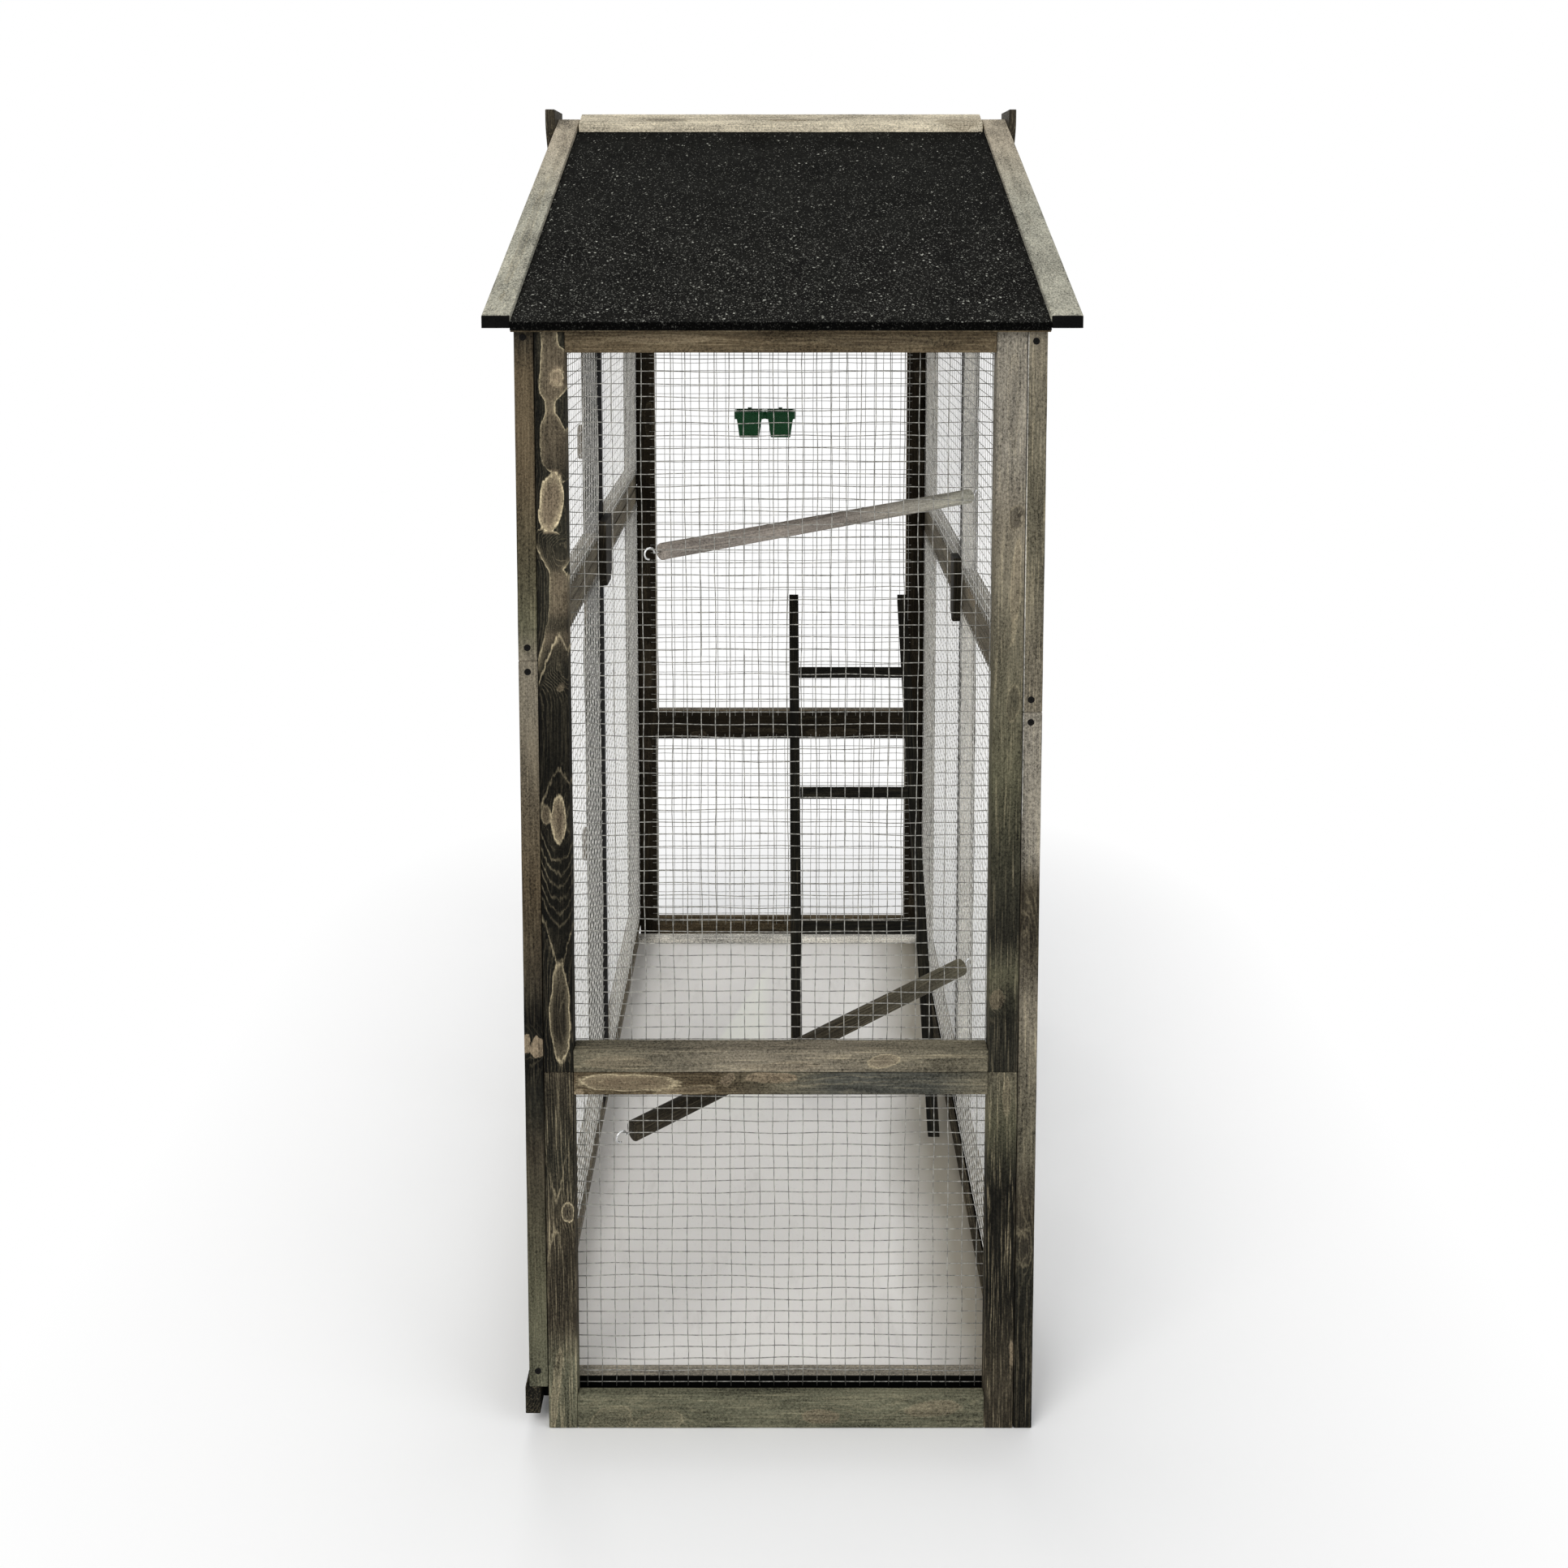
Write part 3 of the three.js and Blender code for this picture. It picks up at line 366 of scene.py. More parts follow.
def fields(look, points, along, across, seed):
    """The grain, tint and figure of a lath at its mesh's points, in mm."""
    grain = turned_grain(points * MM, along, seed)
    across = look.across if look.across is not None else across
    far, wide = points[:, along], points[:, across]
    islands = look.islands
    if islands is None:
        islands = scattered(far.min(), far.max(), wide.min(), wide.max(), random.Random(seed * 13 + 5))
    depth = np.full(len(far), NO_ISLAND)
    fill, rim = np.zeros(len(far)), np.zeros(len(far))

    # Veins first, then islands over them, the nearest edge counting
    for vein in look.veins:
        rows = np.array(sorted(vein))
        low, high, amount, line = [np.interp(far, rows[:, 0], rows[:, k]) for k in range(1, 5)]
        distance = np.minimum.reduce([wide - low, high - wide, far - rows[0, 0], rows[-1, 0] - far])
        nearer = distance > depth
        depth[nearer], fill[nearer], rim[nearer] = distance[nearer], amount[nearer], line[nearer]
    for place, middle, long, half, amount, line, *rest in islands:
        tilt = rest[0] if rest else 0
        u, v = far - place, wide - middle
        u, v = u * math.cos(tilt) + v * math.sin(tilt), v * math.cos(tilt) - u * math.sin(tilt)
        distance = (1 - np.sqrt((u / long) ** 2 + (v / half) ** 2)) * min(long, half)
        nearer = (distance > depth) | (distance > -1.2)
        depth[nearer], fill[nearer], rim[nearer] = distance[nearer], amount, line

    # Growth rings from the pith, drawn closer and stronger round an island, then bowls and peaks
    radius = np.hypot(grain[:, 1], grain[:, 2]) / MM
    outside = np.exp(np.minimum(depth, 0) / 8)
    count = radius / RING_PITCH + 1.8 * outside + np.maximum(depth, 0) / ISLAND_RING_PITCH
    lines = look.rings * (0.4 + 0.6 * outside)
    for start, end, middle, curve, spacing, strength in look.bowls:
        level = far - curve * (wide - middle) ** 2
        inside = np.clip(np.minimum(level - start, end - level) / 14, 0, 1) * (depth < -1)
        count = np.where(inside > 0, (level - start) / spacing, count)
        lines = np.where(inside > 0, strength * inside, lines)
    for tip, middle, steep, way, width, strength in look.peaks:
        ahead = (tip - far) * way
        off = ahead / steep - (np.sqrt((wide - middle) ** 2 + 9) - 3)
        on = (np.abs(off) < width) & (ahead > -width * steep)
        fade = np.clip(1 - ahead / 130, 0, 1)
        count = np.where(on, off / (2 * width), count)
        lines = np.where(on, strength * fade * np.exp(-((off / (0.55 * width)) ** 2)), lines)

    mark = np.stack([depth, fill, count], 1)
    figure = np.stack([lines, np.full(len(far), look.streaks), rim], 1)
    tint = look.tint(far, wide)
    if look.paint:
        look.paint(points, tint, mark, figure)
    return {"grain": grain, "mark": mark, "figure": figure, "tint": tint}


# Mesh building
class Piece:
    """Collects solids, each with its grain and colour, that become one object."""

    KEYS = {"grain": 3, "mark": 3, "figure": 3, "tint": 4}

    def __init__(self):
        self.verts, self.faces, self.smooth = [], [], []
        self.values = {key: [] for key in self.KEYS}
        self.count = 0

    def add(self, verts, faces, smooth=False, **values):
        verts = np.asarray(verts, float)
        self.verts.append(verts)
        self.faces.extend([tuple(int(i) + self.count for i in face) for face in faces])
        self.smooth.extend([smooth] * len(faces))
        plain = {"grain": verts, "mark": (NO_ISLAND, 0, 0), "figure": (0, 0.2, 0), "tint": (1, 1, 1, 1)}
        for key, width in self.KEYS.items():
            self.values[key].append(np.broadcast_to(values.get(key, plain[key]), (len(verts), width)))
        self.count += len(verts)

    def build(self, name, slot, material, body="house", node=None):
        """Makes the object, which stands for the frame's node, by default the one of its own name."""
        mesh = bpy.data.meshes.new(name)
        mesh.from_pydata(np.concatenate(self.verts).tolist(), [], self.faces)
        mesh.polygons.foreach_set("use_smooth", self.smooth)
        for key, chunks in self.values.items():
            kind, field = ("FLOAT_COLOR", "color") if key == "tint" else ("FLOAT_VECTOR", "vector")
            layer = mesh.attributes.new(key, kind, "POINT")
            layer.data.foreach_set(field, np.concatenate(chunks).astype(np.float32).ravel())
        mesh.update()
        mesh.materials.append(material)
        piece = bpy.data.objects.new(name, mesh)
        scene.collection.objects.link(piece)
        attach(piece, body)
        if (node or name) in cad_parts:
            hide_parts(node or name)


def turned_grain(local, along, seed):
    """Grain coordinates: lengthways first, with a random slight tilt and a random distance from the pith."""
    dice = random.Random(seed)
    order = [along] + [axis for axis in range(3) if axis != along]
    q = local[:, order].copy()
    q -= q.mean(0)
    q[:, 1] += q[:, 0] * dice.uniform(-0.02, 0.02) + dice.choice((-1, 1)) * dice.uniform(0.012, 0.05)
    q[:, 2] += q[:, 0] * dice.uniform(-0.015, 0.015) + dice.choice((-1, 1)) * dice.uniform(0.008, 0.03)
    q[:, 0] += dice.uniform(0, 40)
    return q


def unit(rows):
    return rows / np.linalg.norm(rows, axis=-1, keepdims=True)


def placed(matrix, points):
    """Points in millimetres, moved by a matrix, in metres."""
    return (np.asarray(points, float) @ np.array(matrix.to_3x3()).T + np.array(matrix.translation)) * MM


def skin(levels, n):
    """Faces that join rings of n points each, with both ends closed."""
    faces = [tuple(reversed(range(n))), tuple(range((levels - 1) * n, levels * n))]
    for low in range(0, (levels - 1) * n, n):
        for k in range(n):
            m = (k + 1) % n
            faces.append((low + k, low + m, low + n + m, low + n + k))
    return faces


def soften(outline, bevel):
    """The outline, turned anticlockwise, with each sharp corner rounded."""
    points = np.asarray(outline, float)
    ahead = np.roll(points, -1, axis=0)
    if (points[:, 0] * ahead[:, 1] - ahead[:, 0] * points[:, 1]).sum() < 0:
        points = points[::-1]
    out = []
    for k, corner in enumerate(points):
        before, after = points[k - 1] - corner, points[(k + 1) % len(points)] - corner
        cut = min(bevel, 0.4 * np.linalg.norm(before), 0.4 * np.linalg.norm(after))
        before, after = unit(before), unit(after)
        if bevel == 0 or math.pi - math.acos(np.clip(before.dot(after), -1, 1)) < 0.5:
            out.append(corner)
        else:
            out += [corner + before * cut, corner + (before + after) * cut * 0.293, corner + after * cut]
    return out


def divided(outline, pitch):
    out = []
    for k, point in enumerate(outline):
        other = outline[(k + 1) % len(outline)]
        parts = max(1, math.ceil(np.linalg.norm(other - point) / pitch))
        out += [point + (other - point) * t / parts for t in range(parts)]
    return np.array(out)


def prism(piece, outline, start, end, wall, axes, look, along, across, bevel=1.2, pitch=9.0, step=14.0, seed=0):
    """A board: an outline on two of the wall frame's axes, drawn out along the third, in millimetres."""
    ring = divided(soften(outline, bevel), pitch)
    n = len(ring)
    edge = unit(np.roll(ring, -1, axis=0) - ring)
    outward = np.stack([edge[:, 1], -edge[:, 0]], 1)
    outward = unit(outward + np.roll(outward, 1, axis=0))
    parts = max(1, round((end - start - 2 * bevel) / step))
    levels = list(np.linspace(start + bevel, end - bevel, parts + 1))
    insets = [0.0] * len(levels)
    if bevel:
        levels = [start, start + 0.3 * bevel] + levels + [end - 0.3 * bevel, end]
        insets = [bevel, 0.3 * bevel] + insets + [0.3 * bevel, bevel]
    axes = list(axes)
    points = np.zeros((len(levels) * n, 3))
    for k, (level, inset) in enumerate(zip(levels, insets)):
        rows = points[k * n:(k + 1) * n]
        rows[:, axes] = np.column_stack([ring - outward * inset, np.full(n, level)])
        if bevel:
            dips = np.array([noise.noise(Vector(p * 0.02 + seed)) for p in rows])
            rows[:, axes[:2]] -= outward * ((dips + 0.6).clip(0, 1) * 0.25)[:, None]
    faces = skin(len(levels), n)
    if np.linalg.det(np.eye(3)[axes]) * wall.to_3x3().determinant() < 0:
        faces = [tuple(reversed(face)) for face in faces]
    piece.add(placed(wall, points), faces, **fields(look, points, along, across, seed))


def box_lath(piece, lo, hi, wall, look, bevel=1.2, seed=0, pitch=9.0, step=14.0):
    """A lath between two corners in its wall's frame. The grain runs along its longest side."""
    size = np.subtract(hi, lo)
    along = int(np.argmax(size))
    a, b = [axis for axis in range(3) if axis != along]
    across = a if size[a] >= size[b] else b
    outline = [(lo[a], lo[b]), (hi[a], lo[b]), (hi[a], hi[b]), (lo[a], hi[b])]
    prism(piece, outline, lo[along], hi[along], wall, (a, b, along), look, along, across, bevel, pitch, step, seed)


def tube(piece, points, radius, sides):
    """A round rod along points, in metres."""
    steps = unit(np.diff(points, axis=0))
    ahead = unit(np.concatenate([steps, steps[-1:]]) + np.concatenate([steps[:1], steps]))
    side = np.cross(ahead[0], (0, 0, 1) if abs(ahead[0][2]) < 0.9 else (1, 0, 0))
    verts = []
    for point, direction in zip(points, ahead):
        side = unit(side - direction * side.dot(direction))
        other = np.cross(direction, side)
        for k in range(sides):
            angle = 2 * math.pi * k / sides
            verts.append(point + radius * (math.cos(angle) * side + math.sin(angle) * other))
    piece.add(verts, skin(len(points), sides), True)


def lathe(piece, profile, matrix, sides, look=None, seed=0):
    """A turned solid: profile of (radius, z) in millimetres from axis to axis."""
    rings, faces, verts = [], [], []
    for r, z in profile:
        start = len(verts)
        angles = [2 * math.pi * k / sides for k in range(sides if r else 1)]
        verts += [(r * math.cos(angle), r * math.sin(angle), z) for angle in angles]
        rings.append(range(start, len(verts)))
    for a, b in zip(rings, rings[1:]):
        for k in range(sides):
            m = (k + 1) % sides
            corners = (a[k % len(a)], a[m % len(a)], b[m % len(b)], b[k % len(b)])
            faces.append(tuple(dict.fromkeys(corners)))
    values = fields(look, np.array(verts), 2, 0, seed) if look else {}
    piece.add(placed(matrix, verts), faces, True, **values)


def block(piece, low, high, matrix):
    """A plain box between two corners in millimetres."""
    x0, y0, z0 = low
    x1, y1, z1 = high
    corners = [(x, y, z) for z in (z0, z1) for x, y in ((x0, y0), (x1, y0), (x1, y1), (x0, y1))]
    piece.add(placed(matrix, corners), skin(2, 4))


def screws(piece, places, normal, radius):
    """Countersunk screws: a dark ring, painted shade of the countersunk hole, with a dark cross-slotted head, just
    proud of the wood.
    """
    turn = Vector(normal).to_track_quat("Z", "Y").to_matrix().to_4x4()
    rim = [(0, 0.05), (radius, 0.05), (radius, 0.25), (radius - 0.9, 0.35), (radius - 1.2, 0.12), (0, 0.12)]
    half = radius * 0.55
    for number, place in enumerate(places):
        matrix = Matrix.Translation(place) @ turn
        lathe(piece, rim, matrix, 18)
        for slot in (0, math.pi / 2):
            spin = matrix @ Matrix.Rotation(0.4 + number * 1.1 + slot, 4, "Z")
            block(piece, (-half, -0.45, 0.06), (half, 0.45, 0.18), spin)


# Wall frames: x along the wall, y = 0 on the inner face and -25 on the outer one
RIGHT = Matrix.Translation((0, -INNER_LENGTH, 0))
LEFT = Matrix.Translation((0, INNER_LENGTH, 0)) @ Matrix.Rotation(math.pi, 4, "Z")
BACK = Matrix.Translation((INNER_WIDTH, 0, 0)) @ Matrix.Rotation(math.pi / 2, 4, "Z")
FRONT = Matrix.Translation((-INNER_WIDTH, 0, 0)) @ Matrix.Rotation(-math.pi / 2, 4, "Z")


def dim(limit, share):
    """Paints a lath darker where its depth in the wall is over a limit, as on its inner face: painted shade, on
    wood that is also stained darker there.
    """
    def paint(points, tint, mark, figure):
        inner = points[:, 1] > limit
        tint[inner, :3] *= share
        mark[inner, 1] *= share
        figure[inner] *= share
    return paint


def frame_laths(name, wall, body, x0, x1, z0, z1, top, bottom, looks, thin=LATH, posts=(), seed=0, fine=9.0):
    """One wall frame as separate laths: left and right stile, top and bottom rail, posts."""
    piece = Piece()
    a, b = x0 + STILE, x1 - STILE
    shrink = 0.2
    step = fine * 1.5
    rows = [
        ((x0, -LATH, z0), (a, 0, z1)),
        ((b, -LATH, z0), (x1, 0, z1)),
        ((a + shrink, -LATH, z1 - top), (b - shrink, 0, z1)),
        ((a + shrink, -LATH, z0), (b - shrink, thin - LATH, z0 + bottom)),
    ]
    side = STILE / 2
    for post in posts:
        rows.append(((post - side, -LATH, z0 + bottom + shrink), (post + side, 0, z1 - top - shrink)))
    for k, (lo, hi) in enumerate(rows):
        box_lath(piece, lo, hi, wall, looks[min(k, len(looks) - 1)], 1.3, seed + k, fine, step)
    piece.build(name, "washed_wood", WOOD, body)


def wave(x, z, seed, size):
    """A smooth, small in-plane shift of the net at a point, in millimetres."""
    a = math.sin(x * 0.021 + seed) * math.cos(z * 0.013 + seed * 1.7)
    b = math.sin(x * 0.047 + z * 0.031 + seed * 2.3)
    c = math.sin(z * 0.09 + x * 0.05 + seed * 3.1)
    d = math.sin(x * 0.013 - seed) * math.sin(z * 0.027 + seed)
    return size * (0.6 * a + 0.35 * b + 0.2 * c), size * (0.7 * d + 0.3 * b + 0.25 * c)


def lattice(low, high, mesh, anchor=None):
    """Places of the wires that cover an opening from low to high, with a lap."""
    first, last = low - NET_LAP + 1.5, high + NET_LAP - 1.5
    if anchor is None:
        anchor = (low + high) / 2 - mesh / 2
    steps = range(math.ceil((first - anchor) / mesh), math.floor((last - anchor) / mesh) + 1)
    return [anchor + k * mesh for k in steps]


def net(name, wall, body, opening, seed, size=0.9, mesh=(MESH_ACROSS, MESH_UP), anchor=(None, None), pins=()):
    """A welded net: uprights against the frame, level wires on their inner side, free wire ends all round."""
    x0, x1, z0, z1 = opening
    piece = Piece()
    upright_y = FIT + NET_WIRE / 2
    level_y = upright_y + NET_WIRE - 0.2

    def wire(xs, zs, y):
        """One wire through these places, each shifted a little, less so near a pin and the frame."""
        path = []
        for x, z in np.broadcast(xs, zs):
            dx, dz = wave(x, z, seed, size)
            near = min([math.hypot(x - px, z - pz) for px, pz in pins], default=1e9)
            edge = min(x - x0, x1 - x, z - z0, z1 - z) + NET_LAP
            hold = (1 - math.exp(-((near / 55) ** 2))) * min(1.0, max(0.0, edge / 25))
            path.append((x + dx * hold, y, z + dz * hold))
        tube(piece, placed(wall, path), NET_WIRE / 2 * MM, 5)

    def places(low, high, pitch):
        return np.linspace(low - NET_LAP, high + NET_LAP, round((high - low + 2 * NET_LAP) / (pitch * 1.5)) + 1)

    for x in lattice(x0, x1, mesh[0], anchor[0]):
        wire(x, places(z0, z1, MESH_UP), upright_y)
    for z in lattice(z0, z1, mesh[1], anchor[1]):
        wire(places(x0, x1, MESH_ACROSS), z, level_y)
    # The end walls' nets take the wire with painted shade, the long walls' nets the one with painted light
    piece.build(name, "wire_mesh", SHADED_WIRE if wall in (RIGHT, LEFT) else LIT_WIRE, body)


# End walls
HOOK_UP = UPPER_PERCH + HOOK_WIRE_LIFT
HOOK_LOW = LOWER_PERCH + HOOK_WIRE_LIFT
NEAR_FINE = 3.4
upper_looks = [
    Look((505, "pitch"), (1010, "pitch"), (1090, "char"), (1495, "char"), rings=0.16, streaks=0.06,
         shadow=((-314, -300), (0.55, 1)),
         veins=[
             [(1520, -305, -291, 0.3, 0.9), (1474, -303, -284, 0.35, 0.9), (1460, -305, -268, 0.4, 0.9),
              (1426, -307, -268, 0.4, 0.9), (1412, -306, -278, 0.4, 0.9), (1401, -300, -289, 0.35, 0.9),
              (1387, -301, -289, 0.35, 0.9), (1370, -306, -279, 0.3, 0.8), (1353, -308, -268, 0.35, 0.7),
              (1332, -307, -268, 0.3, 0.5), (1318, -304, -268, 0.15, 0.2), (1300, -283, -268, 0, 0)],
             [(1236, -318, -300, 0, 0), (1222, -317, -268, 0, 0), (1214, -316, -268, 0.02, 0.7),
              (1198, -309, -270, 0.06, 0.8), (1184, -299, -281, 0.1, 0.9), (1176, -298, -276, 0.42, 0.7),
              (1130, -298, -268, 0.4, 0.5), (1117, -299, -268, 0.1, 0.2), (1106, -303, -268, 0.1, 0.2),
              (1095, -306, -268, 0.34, 0.5), (1076, -310, -268, 0.08, 0.6), (1050, -314, -268, 0, 0.4),
              (1044, -315, -268, 0, 0), (1030, -316, -268, 0, 0)]],
         islands=[(1433, -285, 12, 8, 0.85, 1.0), (1272, -295, 39, 14.5, 0.75, 1.6, 0.13),
                  (853, -289, 29, 9, 0.6, 0.95), (859, -308, 10, 4.5, 0.3, 0.3),
                  (583, -292, 68, 12.5, 0.06, 0.75), (1027, -286, 4, 4, 0.3, 0.2)],
         peaks=[(1098, -287, 2.6, 1, 6.0, 1.2), (919, -288, 2.2, 1, 6.0, 0.9), (651, -292, 3.6, -1, 5.0, 0.85)],
         bowls=[(690, 815, -291, 0.075, 17.5, 0.24)]),
    Look((505, "char"), (580, "char"), (640, "olive"), (690, "char"), (900, "olive"), (1090, "stone"),
         (1240, "mist"), (1330, "frost"), (1495, "frost"), rings=0.14, streaks=0.26,
         islands=[(1250, 304, 17, 10, -0.5, 0.2, 0.1), (1253, 306, 6, 4.5, -0.8, 0.1),
                  (1008, 302, 21, 8, -0.35, 0.25), (606, 286, 14, 10, 0.3, 0.1, 0.3),
                  (1165, 303, 62, 6, 0.22, 0.3, 0.03), (1400, 297, 60, 7, -0.12, 0.15)]),
    Look("bark", rings=0.15, streaks=0.15,
         islands=[(-150, 1482, 60, 6, 0.2, 0.15), (120, 1478, 80, 7, -0.2, 0.1)]),
    Look((-275, "stone"), (-60, "mist"), (60, "mist"), (275, "stone"), rings=0.12, streaks=0.3,
         islands=[(136, 521, 20, 9, 0.35, 0.5, 0.2), (-215, 519, 46, 8, 0.2, 0.15),
                  (10, 515, 60, 6, 0.2, 0.1, 0.03)]),
]
lower_looks = [
    Look((0, "moss"), (90, "moss"), (150, "umber"), (300, "umber"), (380, "char"), (505, "umber"),
         rings=0.45, streaks=0.5, islands=[(309, -285, 13, 7.5, -1.0, 0.9), (60, -303, 60, 5, 0.2, 0.5, 0.09)],
         peaks=[(330, -300, 5.0, -1, 4.0, 0.8), (290, -302, 6.0, 1, 4.0, 0.8)]),
    Look((0, "umber"), (80, "umber"), (200, "pitch"), (340, "pitch"), (430, "olive"), (505, "stone"),
         rings=0.1, streaks=0.55, islands=[(105, 311, 34, 2.6, 0.8, 0.1), (470, 300, 26, 5, 0.2, 0.3)]),
    Look((-275, "bark"), (-90, "bark"), (0, "stone"), (70, "slate"), (200, "slate"), (275, "stone"),
         rings=0.3, streaks=0.15,
         islands=[(-202, 491, 70, 11, 0.45, 0.85), (-267, 478, 7, 5, 0.8, 0.2), (-15, 498, 32, 7, 0.9, 0.15),
                  (-74, 492, 17, 7, 0.8, 0.2, 0.7), (-120, 481, 40, 5, 0.2, 0.3, 0.1)]),
    Look("moss", rings=0.25, streaks=0.15,
         islands=[(55, 17, 26, 11, 0.45, 0.1), (208, 28, 36, 11, 0.35, 0.1, 0.1),
                  (-230, 10, 30, 20, 0.05, 0.3, 0.4), (-165, 8, 34, 16, 0.05, 0.3, 0.2)]),
]
frame_laths("right_upper_frame", RIGHT, "house", -END_HALF, END_HALF, RIGHT_SEAM + FIT, WALL_TOP, END_RAIL,
            END_RAIL, upper_looks, seed=11, fine=NEAR_FINE)
frame_laths("right_lower_frame", RIGHT, "house", -END_HALF, END_HALF, 0, RIGHT_SEAM, END_RAIL,
            PLINTH, lower_looks, PLINTH_DEPTH, seed=23, fine=NEAR_FINE)
# The far wall's inner faces are painted near black: painted shade on darker stained wood
far_look = Look("bark", paint=dim(-0.6, 0.14))
for name, low, high, bottom, thin, seed in (
        ("left_lower_frame", 0, LEFT_SEAM, LEFT_PLINTH, PLINTH_DEPTH, 51),
        ("left_upper_frame", LEFT_SEAM + FIT, WALL_TOP, END_RAIL, LATH, 580)):
    frame_laths(name, LEFT, "house", -END_HALF, END_HALF, low, high, END_RAIL, bottom, [far_look], thin, seed=seed)


# Long walls
def pale_arris(low, high):
    """A bare pale line down the near inner corner."""
    def paint(points, tint, mark, figure):
        on = (points[:, 1] > -1.2) & (points[:, 0] < -624) & (points[:, 2] > low) & (points[:, 2] < high)
        tint[on, :3] = linear((206, 204, 196))
    return paint


def reveal(face, dark=0.6):
    """Black on the inner face: painted shade. A side at x = face is painted pale, a painted highlight, past a
    strip of painted shade; a door has no side at 0.
    """
    def paint(points, tint, mark, figure):
        side = (np.abs(points[:, 0] - face) < 0.3) & (points[:, 1] > -LATH + 1.4)
        inner = (points[:, 1] > -0.6) | (side & (points[:, 1] > -dark))
        # Painted highlight on the side, painted shade on the inner face and the strip beside it
        tint[side, :3] = linear((192, 187, 176))
        tint[inner, :3] = linear((14, 12, 11))
        mark[side | inner, 1] = 0
        figure[side | inner] = 0
    return paint


# The long walls' inner faces are painted a little darker: painted shade
long_inner = Look("mist", paint=dim(-0.6, 0.8))
back_near = {
    "back_upper": Look((995, "mist"), (1200, "stone"), (1300, "stone"), (1495, "mist"), across=1, islands=[],
                       streaks=0.3, paint=pale_arris(995, 1490)),
    "back_lower": Look((0, "pitch"), (110, "pitch"), (220, "char"), (320, "umber"), (400, "stone"), (600, "mist"),
                       (700, "umber"), (760, "umber"), (800, "frost"), (995, "frost"), across=1, streaks=0.2,
                       islands=[(260, -14, 30, 8, -0.4, 0.2), (690, -12, 40, 10, -0.3, 0.1)],
                       paint=pale_arris(850, 994)),
}
for name, low, high, bottom, seed in (("back_lower", 0, BACK_SEAM, PLINTH, 61),
                                      ("back_upper", BACK_SEAM + FIT, WALL_TOP, LONG_RAIL, 1056)):
    looks = [back_near[name], long_inner, long_inner, long_inner, Look("umber", paint=reveal(-STILE / 2))]
    frame_laths(f"{name}_frame", BACK, "house", -HALF_LENGTH, HALF_LENGTH, low, high, LONG_RAIL, bottom, looks,
                posts=(0,), seed=seed)
front_near = {
    "front_upper": Look((1063, "mist"), (1110, "olive"), (1300, "bark"), (1440, "bark"), (1495, "umber"), across=1,
                        streaks=0.1, rings=0.1, islands=[]),
    "front_lower": Look((60, "moss"), (200, "olive"), (400, "umber"), (460, "char"), (515, "black"),
                        (526, "pitch"), (562, "pitch"), (576, "black"), (620, "umber"), (760, "bark"),
                        (1000, "mist"), (1063, "mist"), across=1, streaks=0.1, rings=0.1,
                        islands=[(546, -18, 15, 15, 1.0, 0.0), (539, -8, 14, 12, 1.0, 0.0)]),
}
front_parts = (
    ("front_lower", "house", 0, HALF_LENGTH, FRONT_FOOT, FRONT_SEAM),
    ("front_upper", "house", 0, HALF_LENGTH, FRONT_SEAM + FIT, WALL_TOP),
    ("lower_door", "lower_door", -HALF_LENGTH, -DOOR_GAP, FRONT_FOOT + DOOR_GAP, FRONT_SEAM - DOOR_GAP),
    ("upper_door", "upper_door", -HALF_LENGTH, -DOOR_GAP, FRONT_SEAM + DOOR_GAP, EAVE_UNDERSIDE - DOOR_GAP),
)
for number, (name, body, x0, x1, z0, z1) in enumerate(front_parts):
    if body == "house":
        looks = [Look("umber", paint=reveal(STILE, 17)), front_near[name], long_inner]
    else:
        # A door's first stile is painted darker on its inner face: painted shade
        looks = [Look("umber", paint=dim(-0.6, 0.3)), Look("umber", paint=reveal(0)), long_inner]
    frame_laths(f"{name}_frame", FRONT, body, x0, x1, z0, z1, LONG_RAIL, LONG_RAIL, looks, seed=91 + 7 * number)

# Nets. A hook goes through the middle of a mesh, so the wires are counted from there. The wires beside a
# hook stay straight, and so do those that the feeder hangs on, 34 mm to each side of its middle.
opening_side = END_HALF - STILE
long_side = HALF_LENGTH - STILE
MESH = (MESH_ACROSS, MESH_UP)
UPPER_BACK, LOWER_BACK = UPPER_FAR - HALF_LENGTH, LOWER_FAR - HALF_LENGTH
nets = (
    ("right_upper", RIGHT, opening_side, RIGHT_SEAM + FIT + END_RAIL, WALL_TOP - END_RAIL,
     1.3, 1.6, MESH, HOOK_UP, -UPPER_NEAR, 0),
    ("right_lower", RIGHT, opening_side, PLINTH, RIGHT_SEAM - END_RAIL,
     2.1, 1.8, (19.64, 17.1), HOOK_LOW, -LOWER_NEAR, 0),
    ("left_upper", LEFT, opening_side, LEFT_SEAM + FIT + END_RAIL, WALL_TOP - END_RAIL,
     4.4, 0.9, MESH, FEEDER_RIM, 34.0, 34.0),
    ("left_lower", LEFT, opening_side, LEFT_PLINTH, LEFT_SEAM - END_RAIL, 5.2, 0.9, MESH, None, 0, 0),
    ("back_lower", BACK, long_side, PLINTH, BACK_SEAM - LONG_RAIL, 6.6, 0.9, MESH, HOOK_LOW, LOWER_BACK, 0),
    ("back_upper", BACK, long_side, BACK_SEAM + FIT + LONG_RAIL, WALL_TOP - LONG_RAIL,
     7.9, 0.9, MESH, HOOK_UP, UPPER_BACK, 0),
)
for name, wall, half, z0, z1, seed, size, mesh, level, middle, reach in nets:
    anchor = (middle + mesh[0] / 2, level) if level else (None, None)
    pins = [(middle + side * reach, level) for side in (-1, 1)] if level else ()
    net(f"{name}_net", wall, "house", (-half, half, z0, z1), seed, size, mesh, anchor, pins)
for number, (name, body, x0, x1, z0, z1) in enumerate(front_parts):
    net(f"{name}_net", FRONT, body, (x0 + STILE, x1 - STILE, z0 + LONG_RAIL, z1 - LONG_RAIL), 9.1 + number)


